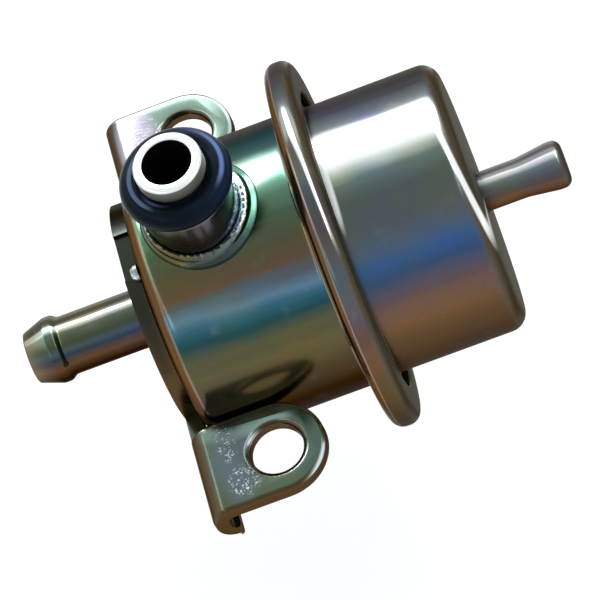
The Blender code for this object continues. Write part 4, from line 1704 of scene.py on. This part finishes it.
@dataclass(frozen=True)
class Studio:
    """The camera of the photograph's angle, soft lights and a pale floor."""

    place: Vector = field(default_factory=lambda: Vector((54.3, -276.6, 418.5)))
    right: Vector = field(default_factory=lambda: Vector((0.9344, -0.2433, -0.26)))
    forward: Vector = field(default_factory=lambda: Vector((-0.0918, 0.5409, -0.8361)))
    lens: float = 233.35
    floor_gap: float = 40.0
    floor_size: float = 6.0
    sky: float = 1.0
    softboxes: tuple[Softbox, ...] = (
        Softbox("key_softbox", (0.05, 0.79, 0.61), 1.0, 1.3, 0.4, 4.5),
        Softbox("left_strip", (-0.66, -0.1, 0.7), 1.1, 1.7, 0.12, 3.0),
        Softbox("right_strip", (0.5, 0.1, 0.86), 1.1, 1.2, 0.13, 4.5),
    )

    def camera(self) -> None:
        """Makes the camera, rolled as in the photograph."""
        data = bpy.data.cameras.new("camera")
        data.lens = self.lens
        data.sensor_width = 36.0
        data.clip_start = 0.01
        data.clip_end = 20.0
        camera = bpy.data.objects.new("camera", data)
        bpy.context.scene.collection.objects.link(camera)
        back = -self.forward.normalized()
        up = back.cross(self.right).normalized()
        side = up.cross(back)
        turned = Matrix((side, up, back)).transposed().to_4x4()
        camera.matrix_world = Matrix.Translation(self.place * MM) @ turned
        bpy.context.scene.camera = camera

    def world(self) -> None:
        """Lights the room softly and evenly."""
        world = bpy.data.worlds.new("room")
        world.use_nodes = True
        background = world.node_tree.nodes["Background"]
        background.inputs["Color"].default_value = (0.97, 0.985, 1.0, 1.0)
        background.inputs["Strength"].default_value = self.sky
        bpy.context.scene.world = world
        bpy.context.scene.view_settings.view_transform = "Standard"

    def floor(self) -> None:
        """Lays the pale floor under the part, far enough that no hard shadow shows."""
        Bench.alone()
        lowest = cad_box[0].z - self.floor_gap * MM
        bpy.ops.mesh.primitive_plane_add(size=self.floor_size, location=(0, 0, lowest))
        board = bpy.context.object
        board.name = "floor"
        board.data.materials.append(PaleFloor().build())

    def build(self) -> None:
        """Sets up the camera, the room and the lights."""
        self.camera()
        self.world()
        self.floor()
        for softbox in self.softboxes:
            softbox.add()
        LOG.info("studio: camera, floor and softboxes")


FILM_CLOUDS = (
    (0.3, (188, 172, 216)), (0.45, (188, 188, 188)), (0.6, (210, 194, 156)),
    (0.75, (166, 206, 200)),
)
# Painted reflections round the inlet's collar, by the way each face turns about the inlet's axis.
COLLAR_REFLECTION_BANDS = by_angle(
    (-180, (122, 132, 120)), (-135, (104, 108, 92)), (-112, (96, 92, 84)),
    (-92, (104, 98, 96)), (-70, (108, 102, 110)), (-46, (124, 136, 164)),
    (-34, (112, 120, 132)), (-18, (170, 206, 210)), (25, (198, 214, 216)),
    (70, (150, 160, 164)), (120, (122, 126, 122)), (180, (122, 132, 120)),
)
# Painted reflections on the weld's skirt, by angle round the inlet.
SKIRT_REFLECTION_BANDS = by_angle(
    (-180, (60, 72, 66)), (-140, (88, 92, 60)), (-110, (60, 66, 58)), (-80, (54, 64, 66)),
    (-50, (66, 84, 82)), (-20, (96, 150, 128)), (10, (130, 184, 160)), (50, (110, 150, 136)),
    (120, (80, 104, 98)), (180, (60, 72, 66)),
)
# Painted highlights and reflections on the weld's crest, by angle round the inlet.
CREST_HIGHLIGHT_BANDS = by_angle(
    (-180, (120, 134, 128)), (-150, (104, 102, 74)), (-115, (90, 90, 76)), (-90, (84, 90, 88)),
    (-60, (100, 114, 112)), (-30, (206, 220, 218)), (15, (250, 252, 252)),
    (80, (206, 220, 216)), (180, (120, 134, 128)),
)
# Colours by the wall's angle about the main axis: partly the chromate film's tints, partly painted
# reflections, with painted highlights where the key light would shine and painted shade.
FUEL_CAN_REFLECTION_BANDS = by_angle(
    (-180, (92, 78, 74)), (-150, (98, 80, 52)), (-110, (70, 60, 44)), (-70, (54, 42, 30)),
    (-28, (46, 36, 30)), (-8, (58, 44, 33)), (8, (76, 64, 46)), (24, (96, 90, 62)),
    (33, (84, 88, 64)), (38.5, (32, 70, 80)), (43, (48, 94, 112)), (48, (90, 122, 142)),
    (53, (78, 90, 96)), (58, (92, 76, 58)), (66, (78, 78, 58)), (78, (70, 92, 72)),
    (86, (84, 122, 102)), (92, (112, 160, 140)), (102, (150, 184, 172)),
    (108, (66, 100, 98)), (120, (46, 68, 76)), (134, (64, 62, 60)), (165, (92, 84, 82)),
    (180, (92, 78, 74)),
)
RIM_REFLECTION_BANDS = by_angle(
    (-180, (92, 84, 80)), (-150, (98, 80, 52)), (-110, (76, 64, 48)), (-70, (62, 50, 36)),
    (-28, (66, 56, 48)), (-8, (84, 76, 64)), (10, (94, 78, 50)), (20, (110, 80, 56)),
    (30, (102, 82, 72)), (40, (86, 90, 104)), (50, (80, 86, 96)), (62, (78, 75, 72)),
    (72, (76, 82, 82)), (79, (96, 102, 102)), (86, (84, 88, 88)), (98, (76, 80, 80)),
    (106, (96, 102, 100)), (118, (84, 88, 84)), (132, (70, 66, 62)), (165, (98, 92, 88)),
    (180, (92, 84, 80)),
)
SPRING_CAN_REFLECTION_BANDS = by_angle(
    (-180, (96, 84, 80)), (-150, (104, 88, 62)), (-110, (74, 66, 52)), (-70, (60, 50, 38)),
    (-28, (70, 58, 50)), (-8, (86, 70, 57)), (6, (92, 72, 52)), (16, (106, 82, 60)),
    (25, (106, 84, 78)), (31, (86, 80, 98)), (37, (54, 76, 112)), (44, (54, 88, 136)),
    (50, (72, 90, 114)), (60, (78, 86, 88)), (70, (76, 88, 84)), (79, (96, 116, 114)),
    (86, (192, 208, 206)), (92, (232, 238, 238)), (101, (232, 234, 234)),
    (107, (118, 128, 136)), (118, (80, 84, 90)), (130, (66, 66, 64)), (150, (84, 78, 76)),
    (180, (96, 84, 80)),
)
PIPE_REFLECTION_BANDS = by_angle(
    (-180, (98, 88, 80)), (-150, (92, 74, 52)), (-110, (66, 54, 38)), (-70, (48, 36, 24)),
    (-28, (46, 34, 26)), (-6, (52, 36, 24)), (8, (68, 48, 32)), (18, (92, 66, 47)),
    (27, (84, 68, 62)), (38, (48, 60, 78)), (47, (66, 84, 94)), (58, (64, 72, 58)),
    (72, (78, 86, 70)), (83, (94, 104, 94)), (89, (180, 190, 184)), (97, (200, 204, 200)),
    (101, (70, 72, 68)), (108, (72, 73, 68)), (118, (90, 90, 84)), (130, (140, 140, 134)),
    (150, (110, 106, 100)), (180, (98, 88, 80)),
)
NIPPLE_REFLECTION_BANDS = by_angle(
    (-180, (104, 92, 82)), (-150, (98, 80, 58)), (-110, (80, 64, 46)), (-60, (70, 52, 36)),
    (-20, (84, 60, 42)), (0, (92, 68, 46)), (20, (96, 76, 58)), (32, (84, 76, 72)),
    (44, (80, 82, 82)), (60, (88, 100, 100)), (70, (108, 121, 120)), (79, (190, 200, 200)),
    (88, (240, 242, 242)), (93, (80, 82, 82)), (104, (60, 60, 60)), (118, (118, 118, 118)),
    (132, (160, 160, 160)), (150, (120, 114, 108)), (180, (104, 92, 82)),
)
BRACKET_REFLECTION_BANDS = by_angle(
    (-180, (112, 110, 106)), (-135, (84, 76, 60)), (-90, (72, 64, 50)), (-40, (70, 56, 38)),
    (-10, (86, 68, 48)), (15, (84, 68, 50)), (40, (72, 60, 44)), (60, (66, 60, 42)),
    (76, (74, 80, 64)), (84, (84, 100, 88)), (90, (84, 104, 92)), (95, (100, 124, 114)),
    (98, (210, 230, 220)), (104, (226, 240, 230)), (109, (112, 110, 100)),
    (114, (50, 44, 36)), (170, (48, 40, 30)), (180, (74, 62, 48)),
)
# Colours by how far a face turns along the main axis: painted highlights and shade on rounded
# corners, edges and end faces, over the film's tints.
END_FACE_REFLECTIONS = by_facing(
    (-1.0, (84, 82, 60)), (-0.86, (74, 62, 44)), (-0.72, (108, 80, 54)), (-0.6, (96, 70, 50)),
    (-0.5, (112, 86, 64)), (-0.42, (178, 164, 146)), (-0.34, (84, 80, 82)), (0.0, (84, 94, 88)),
    (0.3, (88, 92, 92)), (0.5, (84, 80, 70)), (0.72, (74, 66, 54)), (0.88, (66, 60, 50)),
    (1.0, (78, 80, 70)),
)
EAR_END_REFLECTIONS = by_facing(
    (-1.0, (58, 60, 44)), (-0.8, (84, 72, 58)), (-0.55, (96, 82, 70)), (-0.35, (92, 92, 80)),
    (0.0, (96, 124, 112)), (0.35, (150, 176, 164)), (0.55, (232, 246, 238)),
    (0.75, (196, 208, 198)), (0.88, (74, 58, 42)), (1.0, (44, 32, 24)),
)
# Bracket patches: painted reflections and highlights on both ears, painted shade on the disc's top
# edge, a bluish-grey patch on the lower ear, and pale frosted flecks painted as glints.
BRACKET_LIGHT_SHADE_AND_FROST_PATCHES = (
    Patch(-2.0, -20.2, 7.0, 2.4, (140, 168, 156), 0.7),
    Patch(-9.7, 4.0, 1.7, 18.0, (42, 44, 38), 0.9, up_from=0.3),
    Patch(-2.0, 25.5, 8.6, 7.6, (156, 184, 172), 0.65),
    Patch(-6.4, 26.5, 3.4, 6.0, (180, 172, 192), 0.7),
    Patch(-5.6, -25.4, 3.0, 6.4, (104, 118, 130), 0.45),
    Patch(-6.0, -22.4, 1.4, 3.0, (212, 210, 226), 0.8, flecks=True),
    Patch(-5.0, -28.4, 2.2, 2.4, (212, 210, 226), 0.8, flecks=True),
    Patch(-5.4, 26.8, 2.8, 4.6, (150, 120, 140), 0.6, flecks=True),
)
# A painted highlight on the spring can beside the rim.
SPRING_CAN_PAINTED_HIGHLIGHT = Patch(17.8, -2.5, 0.6, 6.8, (236, 244, 240), 0.8)


def main() -> None:
    """Builds the studio and then each sub-assembly in order."""
    logging.basicConfig(level=logging.INFO, format="%(message)s")
    Studio().build()
    layout = Layout()
    fuel_film_and_reflections = PlatedFilmAndReflections(
        "fuel_can_film_and_reflections", FUEL_CAN_REFLECTION_BANDS, END_FACE_REFLECTIONS, rim_bands=RIM_REFLECTION_BANDS, rim_x=layout.flange,
        gleam=0.15,
    ).build()
    spring_film_and_reflections = PlatedFilmAndReflections(
        "spring_can_film_and_reflections", SPRING_CAN_REFLECTION_BANDS, END_FACE_REFLECTIONS, gleam=0.2, gleam_from=0.575,
        gleam_slope=5.3, patches=(SPRING_CAN_PAINTED_HIGHLIGHT,),
    ).build()
    pipe_film_and_reflections = PlatedFilmAndReflections("pipe_film_and_reflections", PIPE_REFLECTION_BANDS, END_FACE_REFLECTIONS, wander=6.0, plain_back=True).build()
    nipple_film_and_reflections = PlatedFilmAndReflections("nipple_film_and_reflections", NIPPLE_REFLECTION_BANDS, END_FACE_REFLECTIONS, wander=6.0).build()
    bracket_film_and_reflections = PlatedFilmAndReflections(
        "bracket_film_and_reflections", BRACKET_REFLECTION_BANDS, EAR_END_REFLECTIONS, wander=9.0, wall=(82, 66, 48),
        patches=BRACKET_LIGHT_SHADE_AND_FROST_PATCHES,
    ).build()
    braze_metal = WeldMetal("braze_metal", (188, 182, 160), (84, 84, 66)).build()
    housing = Housing(layout)
    housing.fuel_can(fuel_film_and_reflections)
    housing.spring_can(spring_film_and_reflections)
    Bracket(layout).build(bracket_film_and_reflections)
    pipe = ReturnPipe(layout)
    pipe.pipe(pipe_film_and_reflections)
    pipe.braze(braze_metal)
    inlet = Inlet(layout)
    inlet.stub(TurnedSteel("inlet_steel", layout.port_x, inlet.bore_r, inlet.groove_z).build())
    crest_r = inlet.bead_inner_r + inlet.bead_width
    bead_metal = BeadMetal(
        "weld_bead_metal", layout.port_x, crest_r, inlet.skirt_r, inlet.skirt_lean
    )
    inlet.bead(bead_metal.build())
    inlet.seal(SealSkin("seal_rubber_skin", layout.port_x).build())
    Nipple(layout).build(nipple_film_and_reflections)
    TackWelds(layout).build(WeldMetal("tack_metal", (248, 250, 250), (140, 144, 146)).build())
    Mechanism().build()


if __name__ == "__main__":
    main()
